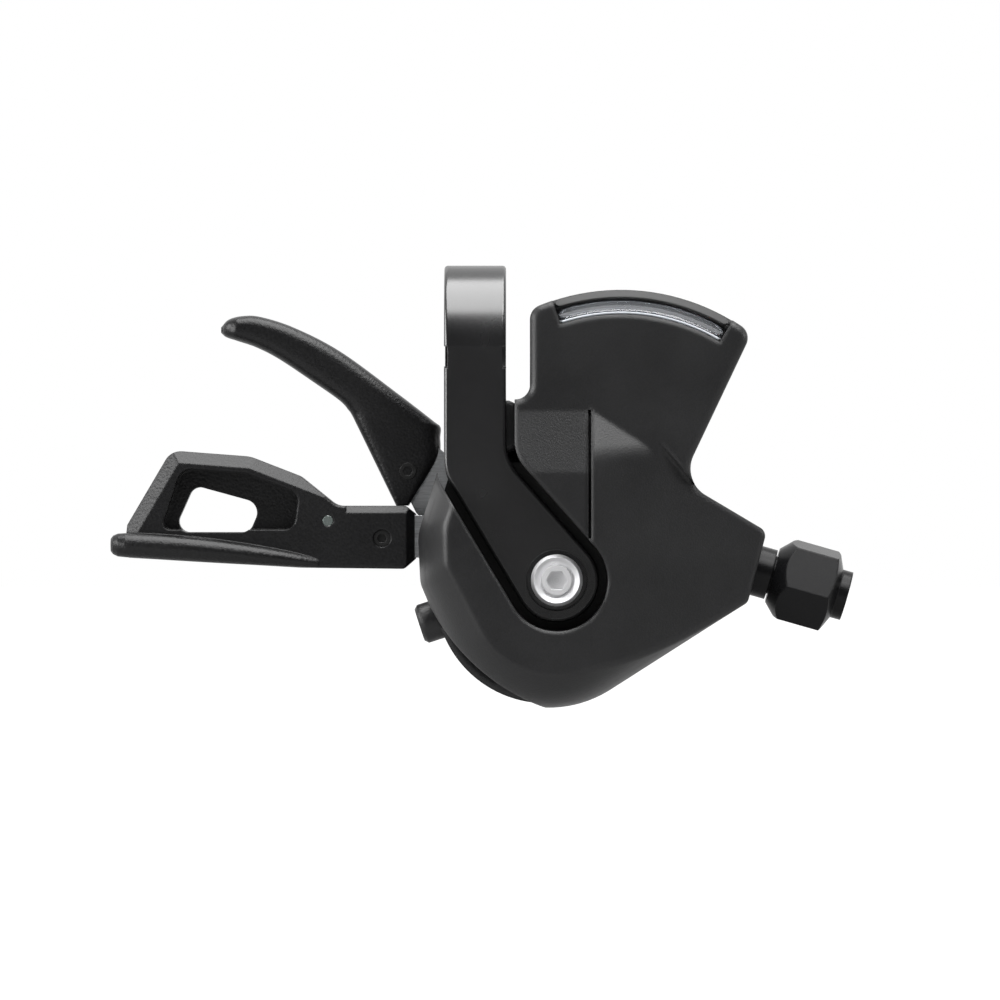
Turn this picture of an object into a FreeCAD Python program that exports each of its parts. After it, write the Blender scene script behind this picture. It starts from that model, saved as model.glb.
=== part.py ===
import FreeCAD, Part
import math
import os

# A right-hand trigger shifter: +X along the handlebar towards the cable, +Z up, -Y towards the viewer.
# The origin is the centre of the clamp loop. All sizes are in millimetres, all angles in degrees.

# Handlebar clamp
BAR_RADIUS = 11.1
BAND_THICKNESS = 2.5
BAND_WIDTH = 10.2
BAND_EDGE_FILLET = 0.6
CLAMP_SLOT = 0.5
LEG_THICKNESS = 2.2
STRIP_BEND_Z = -19.2
STRIP_LEFT_BEND_DROP = 1.6
STRIP_RIGHT_BEND_RISE = 0.6
STRIP_BEND_RADIUS = 8.0
STRIP_END_RADIUS = 6.9
NOTCH_HEIGHT = 3.6
NOTCH_DEPTH = 0.6

# Clamp bolt and main axle, coaxial along Y
AXLE_X = 13.4
AXLE_Z = -38.4
BOLT_RADIUS = 2.5
BOLT_HEAD_RADIUS = 4.25
BOLT_HEAD_HEIGHT = 3.4
BOLT_SOCKET_ACROSS_FLATS = 3.0
BOLT_SOCKET_DEPTH = 1.6
BOLT_ISLAND_RADIUS = 2.45
BOLT_ISLAND_DEPTH = 0.2
BOLT_ISLAND_TAPER = 0.1
BOLT_DISH_DEPTH = 0.8
BOLT_RIM = 0.5
BOLT_TIP_GAP = 1.0
BOLT_SINK = 1.2
BOLT_SEAT_GAP = 0.75
BOLT_HOLE_CLEARANCE = 0.25
THREAD_CLEARANCE = 0.05
AXLE_RADIUS = 4.0
AXLE_FLANGE_RADIUS = 5.0
AXLE_FLANGE_THICKNESS = 0.4
RUNNING_CLEARANCE = 0.05
STACK_GAP = 0.4

# Housing
WALL = 1.6
PARTING_Y = -6.1
WING_FRONT_Y = -17.5
CHEST_FRONT_Y = -20.7
BODY_EDGE_Y = -10.0
SHOULDER_Y = -17.0
SHOULDER_SHARE = 0.36
POCKET_GAP = 1.4
BAR_CLEARANCE = 0.8
REAR_Y = 20.0
REAR_TOP_Z = -15.0
REAR_EDGE_FILLET = 3.0
LEVER_SLOT_FRONT_Y = 3.0
LEVER_SLOT_REAR_Y = 14.4
LEVER_SLOT_BOTTOM_Z = -53.0
LEVER_SLOT_RIGHT_X = 3.0
SEAM_X = 19.0
SEAM_STEP = 0.5
SEAM_SLIT_WIDTH = 0.5
SEAM_SLIT_DEPTH = 0.9
SEAM_END_Z = -31.5
TEXT_PANEL_SLOPE = 0.30
CREST_Y = -22.2
RIDGE_FILLET = 1.2
NOSE_FILLET = 0.5
NOSE_RIM_X = 41.0
FRONT_FACING = 0.5
RIGHT_RAMP_START = (18.6, -10.2)
RIGHT_RAMP_NORMAL = (0.257, -1.0, 0.4)
RAMP_FILLET = 9.0
LEFT_RAMP_Z = -10.5
LEFT_RAMP_SLOPE = 0.26
REAR_SLOPE_X = 24.0
REAR_SLOPE = 0.66

# Gear window on the wing
WINDOW_X = 23.9
WINDOW_Z = -26.2
WING_RADIUS = 35.4
WING_CORNER_RADIUS = 2.4
WING_EDGE_FILLET = 1.2
WINDOW_FRAME = 1.5
LENS_HEIGHT = 1.9
LENS_THICKNESS = 1.0
LENS_DEPTH = 3.6
LENS_FIRST_ANGLE = 59.0
LENS_LAST_ANGLE = 108.5
LENS_FIT = 0.05

# Base bracket and the stack on the axle
BRACKET_THICKNESS = 2.0
BRACKET_TOP_Z = -19.0
AXLE_SPIGOT_RADIUS = 3.6
CABLE_Y = -3.2
DRUM_WIDTH = 5.2
DRUM_RADIUS = 12.0
CABLE_PITCH_RADIUS = 10.5
CABLE_GROOVE_RADIUS = 1.0
SPRING_ROOM_RADIUS = 8.6
SPRING_ROOM_DEPTH = 2.2
SPRING_HUB_RADIUS = 5.2
SPRING_STRIP = 0.35
SPRING_SIDE_GAP = 0.3
SPRING_END_GAP = 0.4
SPRING_TURNS = 3.0
NIPPLE_RADIUS = 1.0
NIPPLE_FLOOR = 0.6
RATCHET_THICKNESS = 2.0
RATCHET_TIP_RADIUS = 11.5
RATCHET_ROOT_RADIUS = 10.2
RATCHET_TEETH = 24
RATCHET_FACE_TURN = 3.0
ARM_THICKNESS = 2.0
ARM_HUB_RADIUS = 7.0
MAIN_ARM_Y = 3.9
RELEASE_ARM_Y = 11.9
NUT_ACROSS_FLATS = 11.0
NUT_HEIGHT = 3.4
WASHER_RADIUS = 6.6
SPACER_RADIUS = 5.4

# Pawls
PAWL_PIVOT_REACH = 16.0
PAWL_PIN_RADIUS = 1.25
PAWL_EYE_RADIUS = 2.6
PAWL_TOOTH_GAP = 0.45
WINDING_PAWL_ANGLE = 118.0
HOLDING_PAWL_ANGLE = -22.0
PAWL_SIDE_GAP = 0.2
PAWL_HOOK_TURN = 24.0
PAWL_BEAK_WIDTH = 1.6
PAWL_HEEL_TURN = 25.44
PAWL_ROOT_TURN = 2.4

# Pointer under the window
NEEDLE_POST_RADIUS = 1.5
NEEDLE_THICKNESS = 0.5
NEEDLE_Y = -15.2
NEEDLE_TIP_GAP = 0.8
NEEDLE_ROOT_HALF_WIDTH = 1.6
NEEDLE_TIP_HALF_WIDTH = 0.7
NEEDLE_ANGLE = 65.0
DIAL_THICKNESS = 0.5
DIAL_WIDTH = 5.0
NEEDLE_HUB_RADIUS = 2.6
NEEDLE_SIDE_GAP = 0.2

# Barrel adjuster
ADJUSTER_TILT = 15.9
NOSE_ALONG = 31.0
CORE_RADIUS = 4.2
CORE_BORE_RADIUS = 1.2
CORE_FLANGE_RADIUS = 5.4
CORE_FLANGE_THICKNESS = 1.4
CORE_END = 9.0
CORE_END_GAP = 0.2
THREAD_RADIUS = 3.2
NECK_LENGTH = 2.9
BARREL_GAP = 0.3
BARREL_NECK_RADIUS = 4.6
BARREL_TAPER_LENGTH = 2.6
BARREL_HEX_LENGTH = 7.0
BARREL_CIRCUMRADIUS = 7.2
BARREL_END_TAPER = 1.4
BARREL_RING_RADIUS = 4.1
BARREL_RING_LENGTH = 1.7
BARREL_TURN = 20.0
HOUSING_SOCKET_RADIUS = 2.6
HOUSING_SOCKET_DEPTH = 5.0

# Levers
MAIN_PAD_FRONT_Y = 2.0
MAIN_PAD_REAR_Y = 10.3
RELEASE_PAD_FRONT_Y = 11.6
RELEASE_ROOT_FRONT_Y = 10.7
RELEASE_PAD_REAR_Y = 18.0
MAIN_BAR_FRONT_Y = -1.5
MAIN_RECESS_Y = 7.0
RELEASE_ROOT_TOP_Z = -18.0
MAIN_SCREW = (-15.5, -31.6)
MAIN_PIN = (-24.5, -28.7)
RELEASE_SCREW = (-11.3, -20.4)
LEVER_SCREW_HEAD_RADIUS = 1.4
LEVER_SCREW_HEAD = 1.2
LEVER_SCREW_SHANK_RADIUS = 0.9
LEVER_SCREW_SINK = 0.3
LEVER_SCREW_SOCKET = 1.44
LEVER_SCREW_SOCKET_DEPTH = 0.96
LEVER_SCREW_END_WALL = 1.0
LEVER_PIN_RADIUS = 0.85
MAIN_EDGE_FILLET = 0.5
RELEASE_EDGE_FILLET = 0.7
COIL_RADIUS = 6.5
REAR_COIL_RADIUS = 7.6
COIL_WIRE = 0.45
COIL_END_GAP = 0.3

# Small screws and the cable port
COVER_SCREW_RADIUS = 1.2
COVER_SCREW_HEAD_RADIUS = 2.2
COVER_SCREW_HEAD_HEIGHT = 1.3
COVER_SCREW_SOCKET = 1.9
COVER_SCREW_SOCKET_FLOOR = 0.5
COVER_SCREW_COVER = 4.0
COVER_SCREWS = [(36.0, -43.8), (29.0, -20.5), (7.0, -53.8)]
BOSS_RADIUS = 3.4
PORT_ANGLE = 198.0
PORT_RADIUS = 2.2
PORT_CAP_RADIUS = 2.8
PORT_CAP_REACH = 23.1
PORT_SEAT_REACH = 20.6
PORT_PLUG_REACH = 16.0
PORT_CAP_GAP = 0.2
PORT_CAP_EDGE = 0.8
PORT_SLOT_WIDTH = 0.8

# Values that follow from the sizes above
BAND_RADIUS = BAR_RADIUS + BAND_THICKNESS
LENS_RADIUS = WING_RADIUS - WINDOW_FRAME - LENS_HEIGHT
NEEDLE_REACH = LENS_RADIUS - NEEDLE_TIP_GAP
STRIP_FRONT_Y = -BAND_RADIUS
STRIP_BACK_Y = -BAR_RADIUS
LEG_FRONT_Y = STRIP_BACK_Y + CLAMP_SLOT
LEG_BACK_Y = LEG_FRONT_Y + LEG_THICKNESS
BRACKET_BACK_Y = LEG_BACK_Y + BRACKET_THICKNESS
AXLE_REAR_Y = RELEASE_ARM_Y + ARM_THICKNESS + STACK_GAP + NUT_HEIGHT
DRUM_FRONT_Y = CABLE_Y - DRUM_WIDTH / 2
DRUM_BACK_Y = CABLE_Y + DRUM_WIDTH / 2
RATCHET_BACK_Y = DRUM_BACK_Y + RATCHET_THICKNESS
AXLE_BORE_END_Y = DRUM_BACK_Y

BARREL_START = NECK_LENGTH + BARREL_GAP
HEX_START = BARREL_START + BARREL_TAPER_LENGTH
HEX_END = HEX_START + BARREL_HEX_LENGTH
RING_START = HEX_END + BARREL_END_TAPER
BARREL_END = RING_START + BARREL_RING_LENGTH

# Reach of a cut well past the whole object, and of a cut just past a face
FAR = 200.0
OVERCUT = 1.0

V = FreeCAD.Vector
DEPTH = V(0, 1, 0)
PORT_ORIGIN = V(AXLE_X, CABLE_Y, AXLE_Z)


def rounded_wire(corners, y):
    """Closed wire in the plane Y = y through corners (x, z, radius), each rounded by a tangent arc."""
    count = len(corners)
    arcs = []
    for index, (x, z, radius) in enumerate(corners):
        here = V(x, y, z)
        before = corners[index - 1]
        after = corners[(index + 1) % count]
        back = (V(before[0], y, before[1]) - here).normalize()
        ahead = (V(after[0], y, after[1]) - here).normalize()
        half = back.getAngle(ahead) / 2
        middle = (back + ahead).normalize()
        reach = radius / math.tan(half)
        nearest = here + middle * (radius / math.sin(half) - radius)
        arcs.append((here + back * reach, nearest, here + ahead * reach, radius))
    edges = []
    for index, (start, nearest, end, radius) in enumerate(arcs):
        if radius > 0:
            edges.append(Part.Arc(start, nearest, end).toShape())
        following = arcs[(index + 1) % count][0]
        if end.distanceToPoint(following) > 1e-6:
            edges.append(Part.LineSegment(end, following).toShape())
    return Part.Wire(edges)


def plate(corners, front, back):
    """Flat piece with a rounded outline, from Y = front to Y = back."""
    face = Part.Face(rounded_wire(corners, front))
    return face.extrude(V(0, back - front, 0))


def grown_plate(corners, growth, front, back):
    """The same flat piece with its outline moved outwards, or inwards for a negative growth."""
    wire = rounded_wire(corners, front).makeOffset2D(growth, 2)
    return Part.Face(wire).extrude(V(0, back - front, 0))


def disc(x, z, radius, front, back):
    """Cylinder along Y."""
    return Part.makeCylinder(radius, back - front, V(x, front, z), DEPTH)


def ring(x, z, outer, inner, front, back):
    """Washer-shaped piece along Y."""
    return disc(x, z, outer, front, back).cut(disc(x, z, inner, front, back))


def hexagon(x, z, across_flats, front, back):
    """Hexagonal prism along Y."""
    radius = across_flats / math.sqrt(3)
    points = []
    for side in range(7):
        turn = math.radians(60 * side)
        points.append(V(x + radius * math.cos(turn), front, z + radius * math.sin(turn)))
    return Part.Face(Part.makePolygon(points)).extrude(V(0, back - front, 0))


def around(x, z, reach, angle):
    """Point (x, z) at a distance and an angle from a centre, seen from the front, +X towards +Z."""
    turn = math.radians(angle)
    return x + reach * math.cos(turn), z + reach * math.sin(turn)


def beyond(point, normal):
    """Large block that fills the side of a plane its normal points to."""
    block = Part.makeBox(2 * FAR, 2 * FAR, 2 * FAR, V(-FAR, -FAR, 0))
    block.Placement = FreeCAD.Placement(point, FreeCAD.Rotation(V(0, 0, 1), normal))
    return block


def spun(points, x, z):
    """Solid of revolution about the Y line through (x, z), from (radius, y) points."""
    outline = [V(x + radius, y, z) for radius, y in points]
    face = Part.Face(Part.makePolygon(outline + outline[:1]))
    return face.revolve(V(x, 0, z), DEPTH, 360)


def edges_at(shape, chosen):
    """Edges of a shape that a test on the middle point picks out."""
    picked = []
    for edge in shape.Edges:
        middle = edge.valueAt((edge.FirstParameter + edge.LastParameter) / 2)
        if chosen(edge, middle):
            picked.append(edge)
    return picked


def tangent_point(x, z, side):
    """Where the line from (x, z) touches the strip's round end, on one side (+1 or -1) of the bolt."""
    across = AXLE_X - x
    down = AXLE_Z - z
    distance = math.hypot(across, down)
    turn = math.atan2(down, across) + side * math.asin(STRIP_END_RADIUS / distance)
    length = math.sqrt(distance ** 2 - STRIP_END_RADIUS ** 2)
    return x + length * math.cos(turn), z + length * math.sin(turn)


def strip_corners(top):
    """Outline of the clamp strip from a top edge down to its two tangent points at the bolt."""
    half = BAND_WIDTH / 2
    left_bend = STRIP_BEND_Z - STRIP_LEFT_BEND_DROP
    right_bend = STRIP_BEND_Z + STRIP_RIGHT_BEND_RISE
    left = tangent_point(-half, left_bend, -1)
    right = tangent_point(half, right_bend, 1)
    return [
        (-half, top, 0),
        (-half, left_bend, STRIP_BEND_RADIUS),
        (left[0], left[1], 0),
        (AXLE_X, AXLE_Z, 0),
        (right[0], right[1], 0),
        (half, right_bend, STRIP_BEND_RADIUS),
        (half, top, 0),
    ]


def strip_plate(top, front, back):
    """Clamp strip or leg as a flat plate that ends round at the bolt."""
    straight = plate(strip_corners(top), front, back)
    end = disc(AXLE_X, AXLE_Z, STRIP_END_RADIUS, front, back)
    return straight.fuse(end).removeSplitter()


def pocket(growth, back):
    """Room for the clamp strip, its outline grown on all sides, from far in front back to Y = back."""
    front = STRIP_FRONT_Y - FAR
    faces = strip_plate(BAND_RADIUS, front, front + OVERCUT).Faces
    flat = [face for face in faces if abs(face.CenterOfMass.y - front) < 1e-6][0]
    grown = flat.OuterWire.makeOffset2D(growth)
    return Part.Face(grown).extrude(V(0, back - front, 0))


def clamp_band():
    """One-piece clamp: the loop round the bar, the long front strip and the shorter rear leg."""
    along = V(1, 0, 0)
    start = V(-BAND_WIDTH / 2, 0, 0)
    bore = Part.makeCylinder(BAR_RADIUS, BAND_WIDTH, start, along)
    drum = Part.makeCylinder(BAND_RADIUS, BAND_WIDTH, start, along)
    rims = edges_at(drum, lambda edge, middle: edge.Closed)
    loop = drum.makeFillet(BAND_EDGE_FILLET, rims).cut(bore)
    slot_corner = V(-BAND_WIDTH, -2 * BAND_RADIUS, -2 * BAND_RADIUS)
    front_depth = 2 * BAND_RADIUS + LEG_FRONT_Y
    front_quarter = Part.makeBox(2 * BAND_WIDTH, front_depth, 2 * BAND_RADIUS, slot_corner)
    loop = loop.cut(front_quarter)
    strip = strip_plate(0, STRIP_FRONT_Y, STRIP_BACK_Y)
    fronts = edges_at(strip, lambda edge, middle: middle.y < STRIP_FRONT_Y + 1e-4 and middle.z < -1e-3)
    strip = strip.makeFillet(BAND_EDGE_FILLET, fronts)
    leg_top = -math.sqrt(BAR_RADIUS ** 2 - LEG_FRONT_Y ** 2)
    leg = strip_plate(leg_top, LEG_FRONT_Y, LEG_BACK_Y).cut(bore)
    band = loop.fuse([strip, leg]).removeSplitter()
    for side in (-1, 1):
        x = side * BAND_WIDTH / 2
        corner = V(x - NOTCH_DEPTH, STRIP_FRONT_Y - OVERCUT, -NOTCH_HEIGHT)
        band = band.cut(Part.makeBox(2 * NOTCH_DEPTH, BAND_THICKNESS + OVERCUT, NOTCH_HEIGHT, corner))
    hole = BOLT_RADIUS + BOLT_HOLE_CLEARANCE
    band = band.cut(disc(AXLE_X, AXLE_Z, hole, STRIP_FRONT_Y - OVERCUT, LEG_BACK_Y + OVERCUT))
    seat = BOLT_HEAD_RADIUS + BOLT_SEAT_GAP
    return band.cut(disc(AXLE_X, AXLE_Z, seat, STRIP_FRONT_Y - OVERCUT, STRIP_FRONT_Y + BOLT_SINK))


def clamp_bolt():
    """Cap screw with a dished face, a flat island in the dish and a hexagon socket."""
    seat = STRIP_FRONT_Y + BOLT_SINK
    face = seat - BOLT_HEAD_HEIGHT
    island = face + BOLT_ISLAND_DEPTH
    tip = AXLE_BORE_END_Y - BOLT_TIP_GAP
    bolt = spun([
        (0, island),
        (BOLT_ISLAND_RADIUS, island),
        (BOLT_ISLAND_RADIUS + BOLT_ISLAND_TAPER, face + BOLT_DISH_DEPTH),
        (BOLT_HEAD_RADIUS - BOLT_RIM, face),
        (BOLT_HEAD_RADIUS, face + BOLT_RIM),
        (BOLT_HEAD_RADIUS, seat),
        (BOLT_RADIUS, seat),
        (BOLT_RADIUS, tip - BOLT_RIM),
        (BOLT_RADIUS - BOLT_RIM, tip),
        (0, tip),
    ], AXLE_X, AXLE_Z)
    socket = hexagon(AXLE_X, AXLE_Z, BOLT_SOCKET_ACROSS_FLATS, face, island + BOLT_SOCKET_DEPTH)
    return bolt.cut(socket)


# Outline of the housing seen from the front: corners (x, z, radius), the round bottom as one large corner
HOUSING = [
    (5.0, -8.8, 1.6),
    (-5.6, -18.7, 3.0),
    (-9.4, -31.0, 9.0),
    (-9.0, -39.0, 5.0),
    (3.44, -68.5, 18.85),
    (44.75, -42.1, 1.6),
    (47.9, -30.4, 1.6),
    (33.8, -22.1, 5.0),
    (50.0, 12.0, 0),
    (9.0, 12.0, 0),
    (9.0, -8.8, 2.4),
]

# The rim where the front's sloping outer band starts, and the edge of the flat front where it ends
BAND_RIM = [
    (80.0, 40.0, 0),
    (-5.6, 40.0, 0),
    (-5.6, -18.7, 3.0),
    (-9.4, -31.0, 9.0),
    (-9.0, -39.0, 5.0),
    (3.44, -68.5, 18.85),
    (80.0, -19.5, 0),
]
BAND_CREST = [
    (80.0, 40.0, 0),
    (0.0, 40.0, 0),
    (0.0, -20.0, 2.0),
    (-3.6, -29.0, 7.0),
    (-3.6, -35.0, 4.0),
    (7.8, -55.3, 12.0),
    (80.0, -27.0, 0),
]

# Lower limit of the wing's flat face, from the seam to the waist and round the sloping panel
PANEL = [
    (-20.0, -10.2, 0),
    (18.6, -10.2, 0),
    (30.0, -15.6, 0),
    (36.6, -23.4, 0),
    (60.0, -15.0, 0),
    (60.0, -75.0, 0),
    (-20.0, -75.0, 0),
]

# Shelf between the pocket and the seam, one step lower than the panel beside it
SEAM_SHELF = [
    (SEAM_X, AXLE_Z, 0),
    (SEAM_X, 12.0, 0),
    (0.0, 12.0, 0),
    (0.0, STRIP_BEND_Z, 0),
    (AXLE_X, AXLE_Z, 0),
]


def housing_block(inset, front, back):
    """The housing's outline as a block, moved inwards by the inset, with the wing's top an arc."""
    block = plate(HOUSING, front, back)
    if inset > 0:
        block = grown_plate(HOUSING, -inset, front, back)
    top = disc(WINDOW_X, WINDOW_Z, WING_RADIUS - inset, front, back)
    block = block.common(top)
    tips = edges_at(
        block, lambda edge, middle: middle.z > 0 and abs(edge.tangentAt(edge.FirstParameter).y) > 0.99)
    return block.makeFillet(WING_CORNER_RADIUS - inset, tips)


def rolled(block, radius):
    """Rounds the ridge where a ramp of the front meets the face below it."""
    ridges = []
    for edge in block.Edges:
        faces = block.ancestorsOfType(edge, Part.Face)
        flats = [face for face in faces if face.Surface.TypeId == "Part::GeomPlane"]
        if len(flats) == 2 and max(face.normalAt(0, 0).y for face in flats) < -FRONT_FACING:
            ridges.append(edge)
    return block.makeFillet(radius, ridges)


def seam_slit():
    """Narrow slit beside the seam, of even depth below the left ramp and the shelf."""
    ramp = beyond(V(0, WING_FRONT_Y + SEAM_SLIT_DEPTH, LEFT_RAMP_Z), V(0, -1, LEFT_RAMP_SLOPE))
    shelf = beyond(V(0, CHEST_FRONT_Y + SEAM_STEP + SEAM_SLIT_DEPTH, 0), V(0, -1, 0))
    corner = V(SEAM_X - SEAM_SLIT_WIDTH, -FAR, SEAM_END_Z)
    stretch = Part.makeBox(SEAM_SLIT_WIDTH, FAR, LEFT_RAMP_Z - SEAM_END_Z, corner)
    return stretch.common(ramp.fuse(shelf))


def front_form(inset):
    """Solid form of the front cover: wing face, two ramps, sloping panel and sloping outer band."""
    wing_front = WING_FRONT_Y + inset
    wing = housing_block(inset, wing_front, PARTING_Y)
    if inset < WING_EDGE_FILLET:
        rim = edges_at(wing, lambda edge, middle: middle.y < wing_front + 1e-3)
        wing = wing.makeFillet(WING_EDGE_FILLET - inset, rim)
    chest = housing_block(inset, CREST_Y + inset, PARTING_Y)
    panel_start = V(SEAM_X, CHEST_FRONT_Y + inset, 0)
    in_front_of_panel = beyond(panel_start, V(TEXT_PANEL_SLOPE, -1, 0))
    ramp_x, ramp_z = RIGHT_RAMP_START
    right_ramp = beyond(V(ramp_x, WING_FRONT_Y + inset, ramp_z), V(*RIGHT_RAMP_NORMAL))
    left_ramp = beyond(V(0, WING_FRONT_Y + inset, LEFT_RAMP_Z), V(0, -1, LEFT_RAMP_SLOPE))
    chest_front = beyond(V(0, CHEST_FRONT_Y + inset, 0), V(0, -1, 0))
    seam = SEAM_X + inset
    right_side = beyond(V(seam, 0, 0), V(1, 0, 0))
    wing = wing.cut(in_front_of_panel.common(plate(PANEL, -FAR, FAR)))
    right = chest.common(right_side).cut(in_front_of_panel).cut(right_ramp)
    right = rolled(right, RAMP_FILLET - inset)
    left = rolled(chest.cut(right_side).cut(left_ramp).cut(chest_front), RAMP_FILLET - inset)
    shelf_back = CHEST_FRONT_Y + SEAM_STEP + inset
    left = left.cut(plate(SEAM_SHELF, shelf_back - FAR, shelf_back))
    form = wing.fuse([right, left])
    shoulder = []
    for rim_corner, crest_corner in zip(BAND_RIM, BAND_CREST):
        shoulder.append([a + (b - a) * SHOULDER_SHARE for a, b in zip(rim_corner, crest_corner)])
    outlines = ((BAND_RIM, BODY_EDGE_Y), (shoulder, SHOULDER_Y), (BAND_CREST, CREST_Y))
    slope = Part.makeLoft([rounded_wire(corners, y) for corners, y in outlines], True, False)
    straight = plate(BAND_RIM, BODY_EDGE_Y, PARTING_Y)
    limit = slope.fuse(straight)
    limit.translate(V(0, inset, 0))
    return form.common(limit).removeSplitter()


def softened(form):
    """Rounds the ridge where the sloping band meets the flat front, and then the rim of the nose."""
    ridge = []
    for edge in edges_at(form, lambda edge, middle: middle.y < STRIP_FRONT_Y):
        faces = form.ancestorsOfType(edge, Part.Face)
        flats = [face for face in faces if face.Surface.TypeId == "Part::GeomPlane"]
        slopes = [face for face in faces if face.Surface.TypeId == "Part::GeomBSplineSurface"]
        if flats and slopes and abs(flats[0].Surface.Axis.y) > FRONT_FACING:
            ridge.append(edge)
    form = form.makeFillet(RIDGE_FILLET, ridge)
    nose = edges_at(form, lambda edge, middle: middle.x > NOSE_RIM_X and middle.z < WINDOW_Z
                    and middle.y < BODY_EDGE_Y and abs(edge.tangentAt(edge.FirstParameter).y) < 0.9)
    return form.makeFillet(NOSE_FILLET, nose)


def front_cover():
    """Moulded front half: hollow, with the pocket for the clamp strip and the seat of the window."""
    cavity = front_form(WALL)
    cavity = cavity.cut(pocket(POCKET_GAP + WALL, LEG_BACK_Y - STACK_GAP))
    wing_back = -BAR_RADIUS - BAR_CLEARANCE - WALL
    behind_wing = Part.makeBox(2 * FAR, FAR, FAR, V(-FAR, wing_back, REAR_TOP_Z - WALL))
    cavity = cavity.cut(behind_wing)
    cover = softened(front_form(0).Solids[0])
    cover = cover.cut(seam_slit())
    cover = cover.cut(cavity).cut(pocket(POCKET_GAP, PARTING_Y + OVERCUT)).cut(bar_room())
    cover = cover.cut(window_seat())
    return cover.cut(on_adjuster(core_hole()))


def bar_room():
    """Room for the handlebar behind the wing, and for the clamp loop."""
    along = V(1, 0, 0)
    bar = Part.makeCylinder(BAR_RADIUS + BAR_CLEARANCE, 2 * FAR, V(-FAR, 0, 0), along)
    reach = BAND_WIDTH / 2 + BAR_CLEARANCE
    return bar.fuse(Part.makeCylinder(BAND_RADIUS + BAR_CLEARANCE, 2 * reach, V(-reach, 0, 0), along))


def rear_surface(x):
    """Y of the rear cover's outer back face at a place along X."""
    return REAR_Y - REAR_SLOPE * max(0.0, x - REAR_SLOPE_X)


# Outline of the rear cover seen from the front, inside the front cover's and clear of the levers
REAR_HOUSING = [
    (33.6, REAR_TOP_Z, 2.0),
    (5.0, REAR_TOP_Z, 10.0),
    (-8.0, -27.5, 12.0),
    (-8.0, -41.5, 10.0),
    (3.8, -67.0, 18.3),
    (44.2, -41.8, 1.5),
    (47.2, -30.6, 1.5),
    (33.6, -22.8, 5.0),
]


def rear_form(inset):
    """Solid form of the rear cover, round at the back and sloping forward towards the nose."""
    block = plate(REAR_HOUSING, PARTING_Y, REAR_Y)
    if inset > 0:
        block = grown_plate(REAR_HOUSING, -inset, PARTING_Y, REAR_Y - inset)
    rim = edges_at(block, lambda edge, middle: middle.y > REAR_Y - inset - 1e-3)
    block = block.makeFillet(REAR_EDGE_FILLET - inset, rim)
    return block.cut(beyond(V(REAR_SLOPE_X, REAR_Y - inset, 0), V(REAR_SLOPE, 1, 0)))


def rear_cover():
    """Moulded rear half: hollow, with screw bosses and an opening for the two levers."""
    cover = rear_form(0).cut(rear_form(WALL))
    slot_depth = LEVER_SLOT_REAR_Y - LEVER_SLOT_FRONT_Y
    slot_top = REAR_TOP_Z - WALL
    corner = V(LEVER_SLOT_RIGHT_X - FAR, LEVER_SLOT_FRONT_Y, LEVER_SLOT_BOTTOM_Z)
    cover = cover.cut(Part.makeBox(FAR, slot_depth, slot_top - LEVER_SLOT_BOTTOM_Z, corner))
    for x, z in COVER_SCREWS:
        seat = rear_surface(x) - COVER_SCREW_COVER
        cover = cover.fuse(disc(x, z, BOSS_RADIUS, PARTING_Y, REAR_Y).common(rear_form(0)))
        cover = cover.cut(disc(x, z, COVER_SCREW_RADIUS + THREAD_CLEARANCE, BRACKET_BACK_Y, seat))
        head_room = COVER_SCREW_HEAD_RADIUS + 2 * THREAD_CLEARANCE
        cover = cover.cut(disc(x, z, head_room, seat, REAR_Y + OVERCUT))
    cover = cover.cut(nose_turn(port_hole(), -PORT_ANGLE, PORT_ORIGIN))
    return cover.cut(on_adjuster(core_hole()))


def cover_screws():
    """The three screws that hold the rear cover to the bracket, one solid each."""
    screws = []
    for x, z in COVER_SCREWS:
        seat = rear_surface(x) - COVER_SCREW_COVER
        head = disc(x, z, COVER_SCREW_HEAD_RADIUS, seat, seat + COVER_SCREW_HEAD_HEIGHT)
        floor = seat + COVER_SCREW_SOCKET_FLOOR
        socket = hexagon(x, z, COVER_SCREW_SOCKET, floor, seat + COVER_SCREW_HEAD_HEIGHT)
        shank = disc(x, z, COVER_SCREW_RADIUS, LEG_BACK_Y, seat)
        screws.append(head.cut(socket).fuse(shank).removeSplitter())
    return Part.makeCompound(screws)


def nose_turn(shape, tilt, origin):
    """Takes a piece drawn along +X from the origin and lays it along a tilted line."""
    placed = shape.copy()
    placed.Placement = FreeCAD.Placement(origin, FreeCAD.Rotation(DEPTH, tilt))
    return placed


def nose_point():
    """Centre of the nose's end face, where the cable line leaves the housing."""
    tilt = math.radians(ADJUSTER_TILT)
    x = AXLE_X + CABLE_PITCH_RADIUS * math.sin(tilt) + NOSE_ALONG * math.cos(tilt)
    z = AXLE_Z + CABLE_PITCH_RADIUS * math.cos(tilt) - NOSE_ALONG * math.sin(tilt)
    return V(x, CABLE_Y, z)


def on_adjuster(shape):
    """Lays a piece drawn along +X, with the nose's face at 0, on the adjuster's axis."""
    return nose_turn(shape, ADJUSTER_TILT, nose_point())


def rod(radius, start, end):
    """Cylinder along +X."""
    return Part.makeCylinder(radius, end - start, V(start, 0, 0), V(1, 0, 0))


def lathe(points):
    """Solid of revolution about the X axis from (along, radius) points."""
    outline = [V(along, radius, 0) for along, radius in points]
    face = Part.Face(Part.makePolygon(outline + outline[:1]))
    return face.revolve(V(0, 0, 0), V(1, 0, 0), 360)


def port_hole():
    """Room for the cable port's plug: its stem, and a flat seat for its cap."""
    stem = rod(PORT_RADIUS + RUNNING_CLEARANCE, DRUM_RADIUS + OVERCUT, PORT_CAP_REACH)
    return stem.fuse(rod(PORT_CAP_RADIUS + PORT_CAP_GAP, PORT_SEAT_REACH, 2 * PORT_CAP_REACH))


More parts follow.
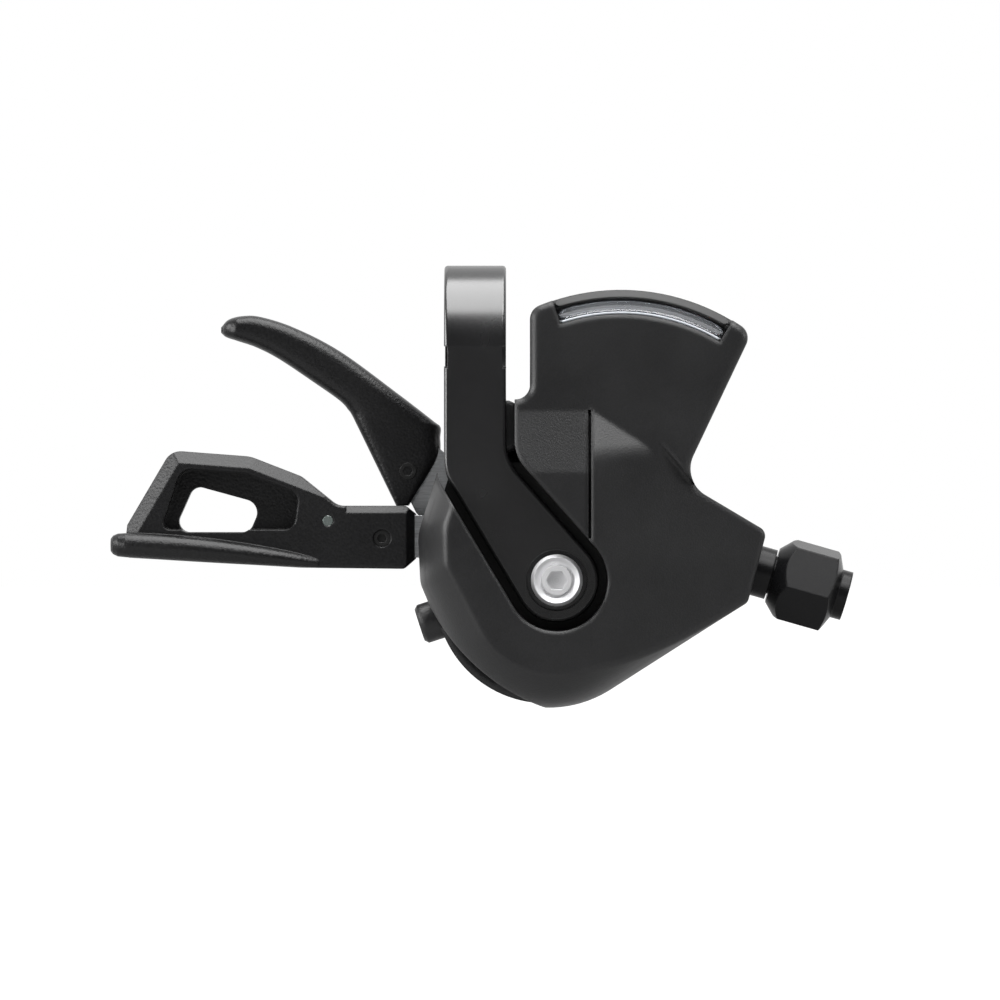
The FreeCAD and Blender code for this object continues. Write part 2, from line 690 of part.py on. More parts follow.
def cable_port_cap():
    """Screw plug that closes the inner cable port, with a coin slot."""
    plug = lathe([
        (PORT_PLUG_REACH, 0),
        (PORT_PLUG_REACH, PORT_RADIUS),
        (PORT_SEAT_REACH, PORT_RADIUS),
        (PORT_SEAT_REACH, PORT_CAP_RADIUS),
        (PORT_CAP_REACH - PORT_CAP_EDGE, PORT_CAP_RADIUS),
        (PORT_CAP_REACH, PORT_CAP_RADIUS - PORT_CAP_EDGE),
        (PORT_CAP_REACH, 0),
    ])
    slot = Part.makeBox(2 * PORT_CAP_EDGE, 2 * PORT_CAP_RADIUS, PORT_SLOT_WIDTH)
    slot.translate(V(PORT_CAP_REACH - PORT_CAP_EDGE, -PORT_CAP_RADIUS, -PORT_SLOT_WIDTH / 2))
    return nose_turn(plug.cut(slot), -PORT_ANGLE, PORT_ORIGIN)


def core_hole():
    """Hole in the nose for the adjuster's core, with room for its flange inside."""
    tube = rod(CORE_RADIUS + RUNNING_CLEARANCE, -2 * WALL, 2 * WALL)
    flange = rod(CORE_FLANGE_RADIUS + 2 * RUNNING_CLEARANCE, -WALL - 3 * CORE_FLANGE_THICKNESS, -WALL)
    return tube.fuse(flange)


def adjuster_core():
    """Threaded tube held in the nose by its flange, which the barrel turns on."""
    inner = -WALL - CORE_FLANGE_THICKNESS
    core = lathe([
        (inner, CORE_BORE_RADIUS),
        (inner, CORE_FLANGE_RADIUS),
        (-WALL, CORE_FLANGE_RADIUS),
        (-WALL, CORE_RADIUS),
        (NECK_LENGTH, CORE_RADIUS),
        (NECK_LENGTH, THREAD_RADIUS),
        (CORE_END, THREAD_RADIUS),
        (CORE_END, CORE_BORE_RADIUS),
    ])
    return on_adjuster(core)


def adjuster_barrel():
    """Six-sided barrel with tapered ends, an end ring and the socket for the cable housing."""
    lathed = lathe([
        (BARREL_START, 0),
        (BARREL_START, BARREL_NECK_RADIUS),
        (HEX_START, BARREL_CIRCUMRADIUS),
        (HEX_END, BARREL_CIRCUMRADIUS),
        (RING_START, BARREL_RING_RADIUS),
        (BARREL_END, BARREL_RING_RADIUS),
        (BARREL_END, 0),
    ])
    corners = []
    for side in range(7):
        turn = math.radians(60 * side + BARREL_TURN)
        corners.append(V(0, BARREL_CIRCUMRADIUS * math.sin(turn), BARREL_CIRCUMRADIUS * math.cos(turn)))
    prism = Part.Face(Part.makePolygon(corners)).extrude(V(2 * BARREL_END, 0, 0))
    barrel = lathed.common(prism)
    barrel = barrel.cut(rod(THREAD_RADIUS + RUNNING_CLEARANCE, BARREL_START, CORE_END + CORE_END_GAP))
    barrel = barrel.cut(rod(CORE_BORE_RADIUS, BARREL_START, BARREL_END))
    socket = rod(HOUSING_SOCKET_RADIUS, BARREL_END - HOUSING_SOCKET_DEPTH, BARREL_END)
    return on_adjuster(barrel.cut(socket))


def base_bracket():
    """Steel plate that carries the axle, the pointer's post and the holding pawl."""
    bracket = housing_block(WALL + STACK_GAP, LEG_BACK_Y, BRACKET_BACK_Y)
    bracket = bracket.cut(beyond(V(0, 0, BRACKET_TOP_Z), V(0, 0, 1)))
    spigot_hole = AXLE_SPIGOT_RADIUS + THREAD_CLEARANCE
    bracket = bracket.cut(disc(AXLE_X, AXLE_Z, spigot_hole, LEG_BACK_Y, BRACKET_BACK_Y))
    holes = [(x, z, COVER_SCREW_RADIUS + THREAD_CLEARANCE) for x, z in COVER_SCREWS]
    pawl_x, pawl_z = around(AXLE_X, AXLE_Z, PAWL_PIVOT_REACH, HOLDING_PAWL_ANGLE)
    holes.append((pawl_x, pawl_z, PAWL_PIN_RADIUS + THREAD_CLEARANCE))
    holes.append((WINDOW_X, WINDOW_Z, NEEDLE_POST_RADIUS + THREAD_CLEARANCE))
    for x, z, radius in holes:
        bracket = bracket.cut(disc(x, z, radius, LEG_BACK_Y, BRACKET_BACK_Y))
    core_inside = WALL + CORE_FLANGE_THICKNESS + STACK_GAP
    core_room = rod(CORE_FLANGE_RADIUS + STACK_GAP, -core_inside, 2 * WALL)
    return bracket.cut(on_adjuster(core_room))


def main_axle():
    """Stepped post riveted in the bracket, with a threaded bore for the clamp bolt."""
    flange_back = BRACKET_BACK_Y + AXLE_FLANGE_THICKNESS
    bore = BOLT_RADIUS + THREAD_CLEARANCE
    return spun([
        (bore, LEG_BACK_Y),
        (AXLE_SPIGOT_RADIUS, LEG_BACK_Y),
        (AXLE_SPIGOT_RADIUS, BRACKET_BACK_Y),
        (AXLE_FLANGE_RADIUS, BRACKET_BACK_Y),
        (AXLE_FLANGE_RADIUS, flange_back),
        (AXLE_RADIUS, flange_back),
        (AXLE_RADIUS, AXLE_REAR_Y),
        (0, AXLE_REAR_Y),
        (0, AXLE_BORE_END_Y),
        (bore, AXLE_BORE_END_Y),
    ], AXLE_X, AXLE_Z)


def axle_nut():
    """Flanged nut at the rear end of the axle."""
    front = RELEASE_ARM_Y + ARM_THICKNESS + STACK_GAP
    nut = hexagon(AXLE_X, AXLE_Z, NUT_ACROSS_FLATS, front, AXLE_REAR_Y)
    return nut.cut(disc(AXLE_X, AXLE_Z, AXLE_RADIUS + THREAD_CLEARANCE, front, AXLE_REAR_Y))


def bush(front, back, outer):
    """Plain ring that sits on the axle."""
    return ring(AXLE_X, AXLE_Z, outer, AXLE_RADIUS + RUNNING_CLEARANCE, front, back)


def cable_winder():
    """Grooved drum that the cable winds onto, hollow in front for its spring."""
    bore = AXLE_RADIUS + RUNNING_CLEARANCE
    groove_bottom = CABLE_PITCH_RADIUS - CABLE_GROOVE_RADIUS
    drum = spun([
        (bore, DRUM_FRONT_Y),
        (SPRING_HUB_RADIUS, DRUM_FRONT_Y),
        (SPRING_HUB_RADIUS, DRUM_FRONT_Y + SPRING_ROOM_DEPTH),
        (SPRING_ROOM_RADIUS, DRUM_FRONT_Y + SPRING_ROOM_DEPTH),
        (SPRING_ROOM_RADIUS, DRUM_FRONT_Y),
        (DRUM_RADIUS, DRUM_FRONT_Y),
        (groove_bottom, CABLE_Y - CABLE_GROOVE_RADIUS / 2),
        (groove_bottom, CABLE_Y + CABLE_GROOVE_RADIUS / 2),
        (DRUM_RADIUS, DRUM_BACK_Y),
        (bore, DRUM_BACK_Y),
    ], AXLE_X, AXLE_Z)
    cable_end = rod(NIPPLE_RADIUS, SPRING_ROOM_RADIUS + NIPPLE_FLOOR, DRUM_RADIUS + OVERCUT)
    return drum.cut(nose_turn(cable_end, -PORT_ANGLE, PORT_ORIGIN))


def ratchet_plate():
    """Toothed steel plate fixed to the back of the drum: saw teeth, one for each gear step."""
    pitch = 360.0 / RATCHET_TEETH
    points = []
    for tooth in range(RATCHET_TEETH):
        angle = tooth * pitch
        for reach, turn in ((RATCHET_TIP_RADIUS, 0.0), (RATCHET_ROOT_RADIUS, RATCHET_FACE_TURN)):
            x, z = around(AXLE_X, AXLE_Z, reach, angle + turn)
            points.append(V(x, DRUM_BACK_Y, z))
    face = Part.Face(Part.makePolygon(points + points[:1]))
    plate_solid = face.extrude(V(0, RATCHET_THICKNESS, 0))
    bore = AXLE_RADIUS + RUNNING_CLEARANCE
    return plate_solid.cut(disc(AXLE_X, AXLE_Z, bore, DRUM_BACK_Y, RATCHET_BACK_Y))


def pawl(angle, side):
    """Pawl: an eye on its pin and a beak that reaches to the teeth, on one side (+1 or -1) of the pin."""
    tip_reach = RATCHET_TIP_RADIUS + PAWL_TOOTH_GAP
    corners = []
    for reach, turn in (
        (PAWL_PIVOT_REACH + PAWL_EYE_RADIUS, PAWL_ROOT_TURN),
        (tip_reach + PAWL_BEAK_WIDTH, PAWL_HEEL_TURN),
        (tip_reach, PAWL_HOOK_TURN),
        (PAWL_PIVOT_REACH - PAWL_EYE_RADIUS, PAWL_ROOT_TURN),
    ):
        x, z = around(AXLE_X, AXLE_Z, reach, angle + side * turn)
        corners.append((x, z, 0))
    front = DRUM_BACK_Y + PAWL_SIDE_GAP
    back = RATCHET_BACK_Y - PAWL_SIDE_GAP
    x, z = around(AXLE_X, AXLE_Z, PAWL_PIVOT_REACH, angle)
    eye = disc(x, z, PAWL_EYE_RADIUS, front, back)
    hole = disc(x, z, PAWL_PIN_RADIUS + RUNNING_CLEARANCE, front, back)
    return plate(corners, front, back).fuse(eye).removeSplitter().cut(hole)


def spiral_spring():
    """Flat spiral spring in the drum's hollow front, from its hub to its wall."""
    start = SPRING_HUB_RADIUS + SPRING_SIDE_GAP
    end = SPRING_ROOM_RADIUS - SPRING_SIDE_GAP - SPRING_STRIP
    steps = 36
    inner = []
    outer = []
    for step in range(steps + 1):
        share = step / steps
        angle = 360.0 * SPRING_TURNS * share
        reach = start + (end - start) * share
        x, z = around(AXLE_X, AXLE_Z, reach, angle)
        inner.append(V(x, DRUM_FRONT_Y, z))
        x, z = around(AXLE_X, AXLE_Z, reach + SPRING_STRIP, angle)
        outer.append(V(x, DRUM_FRONT_Y, z))
    inside = Part.BSplineCurve()
    inside.interpolate(inner)
    outside = Part.BSplineCurve()
    outside.interpolate(outer)
    caps = [Part.LineSegment(inner[0], outer[0]), Part.LineSegment(inner[-1], outer[-1])]
    edges = [inside.toShape(), outside.toShape()] + [cap.toShape() for cap in caps]
    face = Part.Face(Part.Wire(Part.__sortEdges__(edges)))
    return face.extrude(V(0, SPRING_ROOM_DEPTH - SPRING_END_GAP, 0))


def coil_spring(front, back, radius):
    """Torsion spring round the axle: a helix of round wire along Y."""
    pitch = (back - front - 2 * COIL_WIRE) / SPRING_TURNS
    helix = Part.makeHelix(pitch, pitch * SPRING_TURNS, radius)
    section = Part.Wire(Part.makeCircle(COIL_WIRE, V(radius, 0, 0), V(0, 1, 0)))
    coil = Part.Wire(helix).makePipeShell([section], True, True)
    start = V(AXLE_X, front + COIL_WIRE, AXLE_Z)
    coil.Placement = FreeCAD.Placement(start, FreeCAD.Rotation(V(0, 0, 1), DEPTH))
    return coil


def window_sector(points, first, last):
    """Part of a ring about the window's centre, from (radius, y) points, between two angles."""
    outline = [V(WINDOW_X + radius, y, WINDOW_Z) for radius, y in points]
    face = Part.Face(Part.makePolygon(outline + outline[:1]))
    centre = V(WINDOW_X, 0, WINDOW_Z)
    face.rotate(centre, V(0, -1, 0), first)
    return face.revolve(centre, V(0, -1, 0), last - first)


def lens_section():
    """Section of the window: a slanting strip that faces up and forward, as (radius, y) points."""
    slant = math.hypot(LENS_DEPTH, LENS_HEIGHT)
    inward = LENS_DEPTH / slant * LENS_THICKNESS
    behind = LENS_HEIGHT / slant * LENS_THICKNESS
    back = WING_FRONT_Y + LENS_DEPTH
    return [
        (LENS_RADIUS, WING_FRONT_Y),
        (LENS_RADIUS + LENS_HEIGHT, back),
        (LENS_RADIUS + LENS_HEIGHT - inward, back + behind),
        (LENS_RADIUS - inward, WING_FRONT_Y + behind),
    ]


def window_seat():
    """Cut in the wing's top edge that the window lies in, open to the front and above."""
    front, upper, inner_upper, inner_front = lens_section()
    outside = WING_RADIUS + WALL
    before = WING_FRONT_Y - WALL
    back = upper[1] + LENS_FIT
    points = [
        (front[0], before),
        (outside, before),
        (outside, back),
        (upper[0], back),
        (inner_upper[0] - LENS_FIT, inner_upper[1] + LENS_FIT),
        (inner_front[0] - LENS_FIT, inner_front[1] + LENS_FIT),
    ]
    return window_sector(points, LENS_FIRST_ANGLE, LENS_LAST_ANGLE)


def window_lens():
    """Clear curved window let into the wing's top edge."""
    end = math.degrees(LENS_FIT / LENS_RADIUS)
    return window_sector(lens_section(), LENS_FIRST_ANGLE + end, LENS_LAST_ANGLE - end)


def dial_plate():
    """Thin curved plate behind the pointer, seen through the window."""
    back = -BAR_RADIUS - BAR_CLEARANCE - WALL
    front = back - DIAL_THICKNESS
    inner = LENS_RADIUS - DIAL_WIDTH
    points = [(inner, front), (LENS_RADIUS, front), (LENS_RADIUS, back), (inner, back)]
    return window_sector(points, LENS_FIRST_ANGLE, LENS_LAST_ANGLE)


def indicator_needle():
    """Pointer: a hub on its post and a slim arm up to the window."""
    back = NEEDLE_Y + NEEDLE_THICKNESS
    hub = disc(WINDOW_X, WINDOW_Z, NEEDLE_HUB_RADIUS, NEEDLE_Y, back)
    corners = []
    root = NEEDLE_ROOT_HALF_WIDTH
    tip = NEEDLE_TIP_HALF_WIDTH
    for reach, side in ((0.0, -root), (NEEDLE_REACH, -tip), (NEEDLE_REACH, tip), (0.0, root)):
        x, z = around(WINDOW_X, WINDOW_Z, reach, NEEDLE_ANGLE)
        x, z = around(x, z, side, NEEDLE_ANGLE + 90)
        corners.append((x, z, 0))
    needle = hub.fuse(plate(corners, NEEDLE_Y, back)).removeSplitter()
    return needle.cut(disc(WINDOW_X, WINDOW_Z, NEEDLE_POST_RADIUS + RUNNING_CLEARANCE, NEEDLE_Y, back))


def needle_post():
    """Shouldered post on the bracket that the pointer turns on."""
    head_back = NEEDLE_Y - NEEDLE_SIDE_GAP
    shoulder = NEEDLE_Y + NEEDLE_THICKNESS + NEEDLE_SIDE_GAP
    return spun([
        (0, head_back - NEEDLE_THICKNESS),
        (NEEDLE_HUB_RADIUS, head_back - NEEDLE_THICKNESS),
        (NEEDLE_HUB_RADIUS, head_back),
        (NEEDLE_POST_RADIUS, head_back),
        (NEEDLE_POST_RADIUS, shoulder),
        (NEEDLE_HUB_RADIUS, shoulder),
        (NEEDLE_HUB_RADIUS, LEG_BACK_Y),
        (NEEDLE_POST_RADIUS, LEG_BACK_Y),
        (NEEDLE_POST_RADIUS, BRACKET_BACK_Y),
        (0, BRACKET_BACK_Y),
    ], WINDOW_X, WINDOW_Z)


# Lever outlines seen from the front: corners (x, z, radius)
MAIN_ARM = [
    (AXLE_X, AXLE_Z + ARM_HUB_RADIUS, 0),
    (-9.0, -27.8, 2.0),
    (-26.5, -27.0, 1.5),
    (-26.5, -33.0, 1.5),
    (-9.0, -34.9, 2.0),
    (AXLE_X, AXLE_Z - ARM_HUB_RADIUS, 0),
]
MAIN_PAD = [
    (-58.4, -34.8, 1.0),
    (-57.9, -29.4, 0.6),
    (-50.6, -17.0, 3.0),
    (-37.5, -18.0, 5.0),
    (-29.0, -21.3, 3.0),
    (-22.9, -26.2, 3.0),
    (-11.6, -26.2, 1.0),
    (-9.85, -27.6, 0.6),
    (-9.85, -35.0, 0.6),
    (-11.8, -36.7, 1.0),
    (-29.0, -36.5, 40.0),
]
MAIN_RECESS = [
    (-52.4, -30.2, 1.2),
    (-48.9, -19.9, 2.6),
    (-38.0, -20.7, 4.0),
    (-29.2, -24.1, 2.0),
    (-30.0, -30.2, 2.0),
]
MAIN_HOLE = [
    (-50.4, -30.6, 1.8),
    (-46.9, -22.8, 1.8),
    (-35.6, -25.9, 2.2),
    (-37.6, -30.6, 1.8),
]
RELEASE_ARM = [
    (AXLE_X + 4.0, AXLE_Z + 5.6, 0),
    (-4.9, -17.6, 1.5),
    (-12.0, -11.5, 2.0),
    (-15.8, -15.5, 2.0),
    (-9.9, -27.5, 2.0),
    (AXLE_X - 4.0, AXLE_Z - 5.6, 0),
]
RELEASE_PAD = [
    (-43.3, 2.6, 1.3),
    (-37.8, 6.6, 5.0),
    (-23.4, 0.3, 30.0),
    (-5.4, -13.3, 1.0),
    (-6.2, -18.2, 1.5),
    (-10.3, -26.4, 0.8),
    (-13.4, -26.4, 0.8),
    (-20.9, -11.4, 6.0),
    (-33.0, -1.6, 10.0),
]

# Sections of the thumb bar along the main lever's lower edge, and of its rounded end:
# x, front y, middle z, half height
THUMB_BAR = [
    (-58.0, MAIN_BAR_FRONT_Y, -32.75, 2.0),
    (-42.0, -1.2, -33.85, 1.9),
    (-26.0, 1.8, -35.75, 0.8),
]
THUMB_BAR_END = [
    (-58.0, MAIN_BAR_FRONT_Y, -32.75, 2.0),
    (-59.3, -1.1, -32.72, 1.9),
    (-60.1, -0.4, -32.7, 1.55),
    (-60.5, 0.4, -32.7, 1.05),
]

# Bevels of a lever's front: the outline's edge, width, depth, and the stretch of X that each is kept to
MAIN_BEVELS = [
    (1, 2.2, 1.8, -70.0, -45.0),
    (2, 2.0, 1.7, -60.0, -30.0),
    (3, 1.9, 1.4, -42.0, -25.0),
    (5, 1.2, 1.0, -21.5, 0.0),
    (7, 1.6, 2.2, -20.0, 0.0),
]
RELEASE_BEVELS = [
    (0, 2.2, 2.6, -50.0, -30.0),
    (1, 2.2, 2.6, -45.0, -10.0),
    (2, 1.6, 1.9, -35.0, 0.0),
]


def moulded_plate(corners, front, back, fillet):
    """Flat piece with a rounded outline whose front and back edges are rounded too."""
    block = plate(corners, front, back)
    rims = edges_at(block, lambda edge, middle: min(abs(middle.y - front), abs(middle.y - back)) < 1e-4)
    return block.makeFillet(fillet, rims)


def bevelled(pad, corners, bevels, front):
    """Slopes parts of a pad's front back towards straight edges of its outline."""
    for index, width, depth, low_x, high_x in bevels:
        start_x, start_z, _ = corners[index]
        end_x, end_z, _ = corners[index + 1]
        outward = V(start_z - end_z, 0, end_x - start_x).normalize()
        inner = V(start_x, front, start_z) - outward * width
        off = beyond(inner, outward * depth + V(0, -width, 0))
        stretch = Part.makeBox(high_x - low_x, 2 * FAR, 2 * FAR, V(low_x, -FAR, -FAR))
        pad = pad.cut(off.common(stretch))
    return pad


def bar_section(x, front, middle, half):
    """Closed line across the thumb bar: straight sides with half-round front and back."""
    back = MAIN_PAD_REAR_Y
    corners = [
        V(x, front + half, middle - half),
        V(x, back - half, middle - half),
        V(x, back - half, middle + half),
        V(x, front + half, middle + half),
    ]
    return Part.Wire([
        Part.makeLine(corners[0], corners[1]),
        Part.Arc(corners[1], V(x, back, middle), corners[2]).toShape(),
        Part.makeLine(corners[2], corners[3]),
        Part.Arc(corners[3], V(x, front, middle), corners[0]).toShape(),
    ])


def thumb_bar():
    """Rounded bar along the main lever's lower edge, tapering towards the arm."""
    bar = Part.makeLoft([bar_section(*section) for section in THUMB_BAR], True)
    end = Part.makeLoft([bar_section(*section) for section in THUMB_BAR_END], True, True)
    return bar.fuse(end)


def lever_hub(corners, front):
    """Flat lever arm with a round hub on the axle."""
    back = front + ARM_THICKNESS
    arm = plate(corners, front, back).fuse(disc(AXLE_X, AXLE_Z, ARM_HUB_RADIUS, front, back))
    bore = AXLE_RADIUS + RUNNING_CLEARANCE
    return arm.removeSplitter().cut(disc(AXLE_X, AXLE_Z, bore, front, back))


def main_lever_arm():
    """Steel arm of the lower lever, with the ear that carries the winding pawl."""
    x, z = around(AXLE_X, AXLE_Z, PAWL_PIVOT_REACH, WINDING_PAWL_ANGLE)
    back = MAIN_ARM_Y + ARM_THICKNESS
    ear = []
    for centre_x, centre_z in ((AXLE_X, AXLE_Z), (x, z)):
        sides = (-1, 1) if not ear else (1, -1)
        for side in sides:
            foot = around(centre_x, centre_z, PAWL_EYE_RADIUS, WINDING_PAWL_ANGLE + 90 * side)
            ear.append((foot[0], foot[1], 0))
    arm = lever_hub(MAIN_ARM, MAIN_ARM_Y)
    arm = arm.fuse([plate(ear, MAIN_ARM_Y, back), disc(x, z, PAWL_EYE_RADIUS, MAIN_ARM_Y, back)])
    arm = arm.removeSplitter().cut(disc(x, z, PAWL_PIN_RADIUS + THREAD_CLEARANCE, MAIN_ARM_Y, back))
    arm = arm.cut(disc(AXLE_X, AXLE_Z, AXLE_RADIUS + RUNNING_CLEARANCE, MAIN_ARM_Y, back))
    for place, radius in ((MAIN_SCREW, LEVER_SCREW_SHANK_RADIUS), (MAIN_PIN, LEVER_PIN_RADIUS)):
        arm = arm.cut(disc(place[0], place[1], radius + THREAD_CLEARANCE, MAIN_ARM_Y, back))
    return arm


def main_lever_pad():
    """Moulded lower lever: an open frame with a thumb bar along its lower edge."""
    pad = moulded_plate(MAIN_PAD, MAIN_PAD_FRONT_Y, MAIN_PAD_REAR_Y, MAIN_EDGE_FILLET)
    pad = bevelled(pad, MAIN_PAD, MAIN_BEVELS, MAIN_PAD_FRONT_Y)
    pad = pad.fuse(thumb_bar()).removeSplitter()
    pad = pad.cut(plate(MAIN_RECESS, MAIN_BAR_FRONT_Y, MAIN_RECESS_Y))
    pad = pad.cut(plate(MAIN_HOLE, MAIN_BAR_FRONT_Y, MAIN_PAD_REAR_Y))
    pad = pad.cut(plate(MAIN_ARM, MAIN_ARM_Y, MAIN_ARM_Y + ARM_THICKNESS))
    return drilled(pad, MAIN_SCREW, MAIN_PIN, MAIN_PAD_FRONT_Y, MAIN_PAD_REAR_Y)


def drilled(pad, screw, pin, front, back):
    """Drills a pad for its screw, with a sunk head, and for its locating pin."""
    x, z = screw
    head_room = LEVER_SCREW_HEAD_RADIUS + THREAD_CLEARANCE
    pad = pad.cut(disc(x, z, head_room, front - OVERCUT, front + LEVER_SCREW_HEAD))
    pad = pad.cut(disc(x, z, LEVER_SCREW_SHANK_RADIUS + THREAD_CLEARANCE, front, back))
    if pin:
        pad = pad.cut(disc(pin[0], pin[1], LEVER_PIN_RADIUS + THREAD_CLEARANCE, front - OVERCUT, back))
    return pad


def lever_screw(place, front, back):
    """Small countersunk screw that holds a pad to its arm, with a hexagon socket."""
    x, z = place
    head = disc(x, z, LEVER_SCREW_HEAD_RADIUS, front + LEVER_SCREW_SINK, front + LEVER_SCREW_HEAD)
    shank = disc(x, z, LEVER_SCREW_SHANK_RADIUS, front + LEVER_SCREW_HEAD, back)
    socket = hexagon(x, z, LEVER_SCREW_SOCKET, front, front + LEVER_SCREW_SOCKET_DEPTH)
    return head.fuse(shank).removeSplitter().cut(socket)


def release_lever_arm():
    """Steel arm of the upper lever."""
    arm = lever_hub(RELEASE_ARM, RELEASE_ARM_Y)
    x, z = RELEASE_SCREW
    hole = LEVER_SCREW_SHANK_RADIUS + THREAD_CLEARANCE
    return arm.cut(disc(x, z, hole, RELEASE_ARM_Y, RELEASE_ARM_Y + ARM_THICKNESS))


def release_lever_pad():
    """Moulded upper lever: a curved horn with a thicker root round the end of its arm."""
    horn = moulded_plate(RELEASE_PAD, RELEASE_PAD_FRONT_Y, RELEASE_PAD_REAR_Y, RELEASE_EDGE_FILLET)
    root = moulded_plate(RELEASE_PAD, RELEASE_ROOT_FRONT_Y, RELEASE_PAD_REAR_Y, RELEASE_EDGE_FILLET)
    root = root.cut(beyond(V(0, 0, RELEASE_ROOT_TOP_Z), V(0, 0, 1)))
    horn = bevelled(horn, RELEASE_PAD, RELEASE_BEVELS, RELEASE_PAD_FRONT_Y)
    pad = horn.fuse(root).removeSplitter()
    pad = pad.cut(plate(RELEASE_ARM, RELEASE_ARM_Y, RELEASE_ARM_Y + ARM_THICKNESS))
    return drilled(pad, RELEASE_SCREW, None, RELEASE_ROOT_FRONT_Y, RELEASE_PAD_REAR_Y)


def pawl_pin(angle, front, back):
    """Pin that a pawl turns on."""
    x, z = around(AXLE_X, AXLE_Z, PAWL_PIVOT_REACH, angle)
    return disc(x, z, PAWL_PIN_RADIUS, front, back)


def build():
    """Every piece of the shifter, by name."""
    washer_front = RATCHET_BACK_Y + STACK_GAP / 2
    spacer_front = MAIN_ARM_Y + ARM_THICKNESS + STACK_GAP / 2
    pawl_front = DRUM_BACK_Y + PAWL_SIDE_GAP
    main_end = MAIN_PAD_REAR_Y - LEVER_SCREW_END_WALL
    release_end = RELEASE_PAD_REAR_Y - LEVER_SCREW_END_WALL
    coil_front = spacer_front + COIL_END_GAP
    coil_back = RELEASE_ARM_Y - STACK_GAP / 2 - COIL_END_GAP
    nut_front = AXLE_REAR_Y - NUT_HEIGHT
    return {
        "clamp_band": clamp_band(),
        "clamp_bolt": clamp_bolt(),
        "front_cover": front_cover(),
        "rear_cover": rear_cover(),
        "cover_screws": cover_screws(),
        "cable_port_cap": cable_port_cap(),
        "window_lens": window_lens(),
        "dial_plate": dial_plate(),
        "indicator_needle": indicator_needle(),
        "needle_post": needle_post(),
        "base_bracket": base_bracket(),
        "main_axle": main_axle(),
        "axle_nut": axle_nut(),
        "axle_washer": bush(washer_front, MAIN_ARM_Y - STACK_GAP / 2, WASHER_RADIUS),
        "lever_spacer": bush(spacer_front, RELEASE_ARM_Y - STACK_GAP / 2, SPACER_RADIUS),
        "cable_winder": cable_winder(),
        "ratchet_plate": ratchet_plate(),
        "winder_spring": spiral_spring(),
        "winding_pawl": pawl(WINDING_PAWL_ANGLE, 1),
        "winding_pawl_pin": pawl_pin(WINDING_PAWL_ANGLE, pawl_front, MAIN_ARM_Y + ARM_THICKNESS),
        "holding_pawl": pawl(HOLDING_PAWL_ANGLE, -1),
        "holding_pawl_pin": pawl_pin(HOLDING_PAWL_ANGLE, LEG_BACK_Y, RATCHET_BACK_Y),
        "main_lever_arm": main_lever_arm(),
        "main_lever_pad": main_lever_pad(),
        "main_lever_screw": lever_screw(MAIN_SCREW, MAIN_PAD_FRONT_Y, main_end),
        "main_lever_pin": disc(*MAIN_PIN, LEVER_PIN_RADIUS, MAIN_PAD_FRONT_Y, main_end),
        "main_lever_spring": coil_spring(coil_front, coil_back, COIL_RADIUS),
        "release_lever_arm": release_lever_arm(),
        "release_lever_pad": release_lever_pad(),
        "release_lever_screw": lever_screw(RELEASE_SCREW, RELEASE_ROOT_FRONT_Y, release_end),
        "release_lever_spring": coil_spring(nut_front, AXLE_REAR_Y, REAR_COIL_RADIUS),
        "adjuster_core": adjuster_core(),
        "adjuster_barrel": adjuster_barrel(),
    }


os.makedirs("parts", exist_ok=True)
for name, shape in build().items():
    shape.exportStep("parts/" + name + ".step")
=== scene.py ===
import math

import bmesh
import bpy
import numpy as np
from bpy.props import FloatProperty, FloatVectorProperty, PointerProperty
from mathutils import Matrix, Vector


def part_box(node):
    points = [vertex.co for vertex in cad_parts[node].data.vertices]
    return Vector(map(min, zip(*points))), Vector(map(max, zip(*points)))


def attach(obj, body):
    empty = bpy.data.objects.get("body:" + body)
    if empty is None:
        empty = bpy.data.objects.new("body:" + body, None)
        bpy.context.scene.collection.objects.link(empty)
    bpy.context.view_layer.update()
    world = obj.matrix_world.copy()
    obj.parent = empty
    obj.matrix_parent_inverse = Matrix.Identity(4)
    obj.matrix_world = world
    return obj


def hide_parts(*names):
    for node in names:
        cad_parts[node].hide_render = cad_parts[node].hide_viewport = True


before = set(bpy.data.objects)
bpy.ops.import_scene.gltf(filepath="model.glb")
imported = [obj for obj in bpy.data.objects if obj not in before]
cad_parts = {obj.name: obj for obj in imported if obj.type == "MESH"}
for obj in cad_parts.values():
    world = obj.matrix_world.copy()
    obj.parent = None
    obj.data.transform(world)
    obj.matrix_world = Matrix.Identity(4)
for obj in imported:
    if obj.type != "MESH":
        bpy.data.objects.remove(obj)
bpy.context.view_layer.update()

bl_info = {
    "name": "Trigger Shifter Looks",
    "version": (1, 0, 0),
    "blender": (4, 5, 0),
    "location": "3D View > Sidebar > Shifter",
    "description": "Finishes and moulded pieces of a handlebar trigger shifter, and its stage",
    "category": "Object",
}

MM = 0.001
WHITE = (1.0, 1.0, 1.0, 1.0)
BACKWARD = np.array([0.0, 1.0, 0.0])

# Edges of a new piece that turn by more than this stay sharp
SLAB_SHARP = math.radians(50.0)
CAP_SHARP = math.radians(30.0)

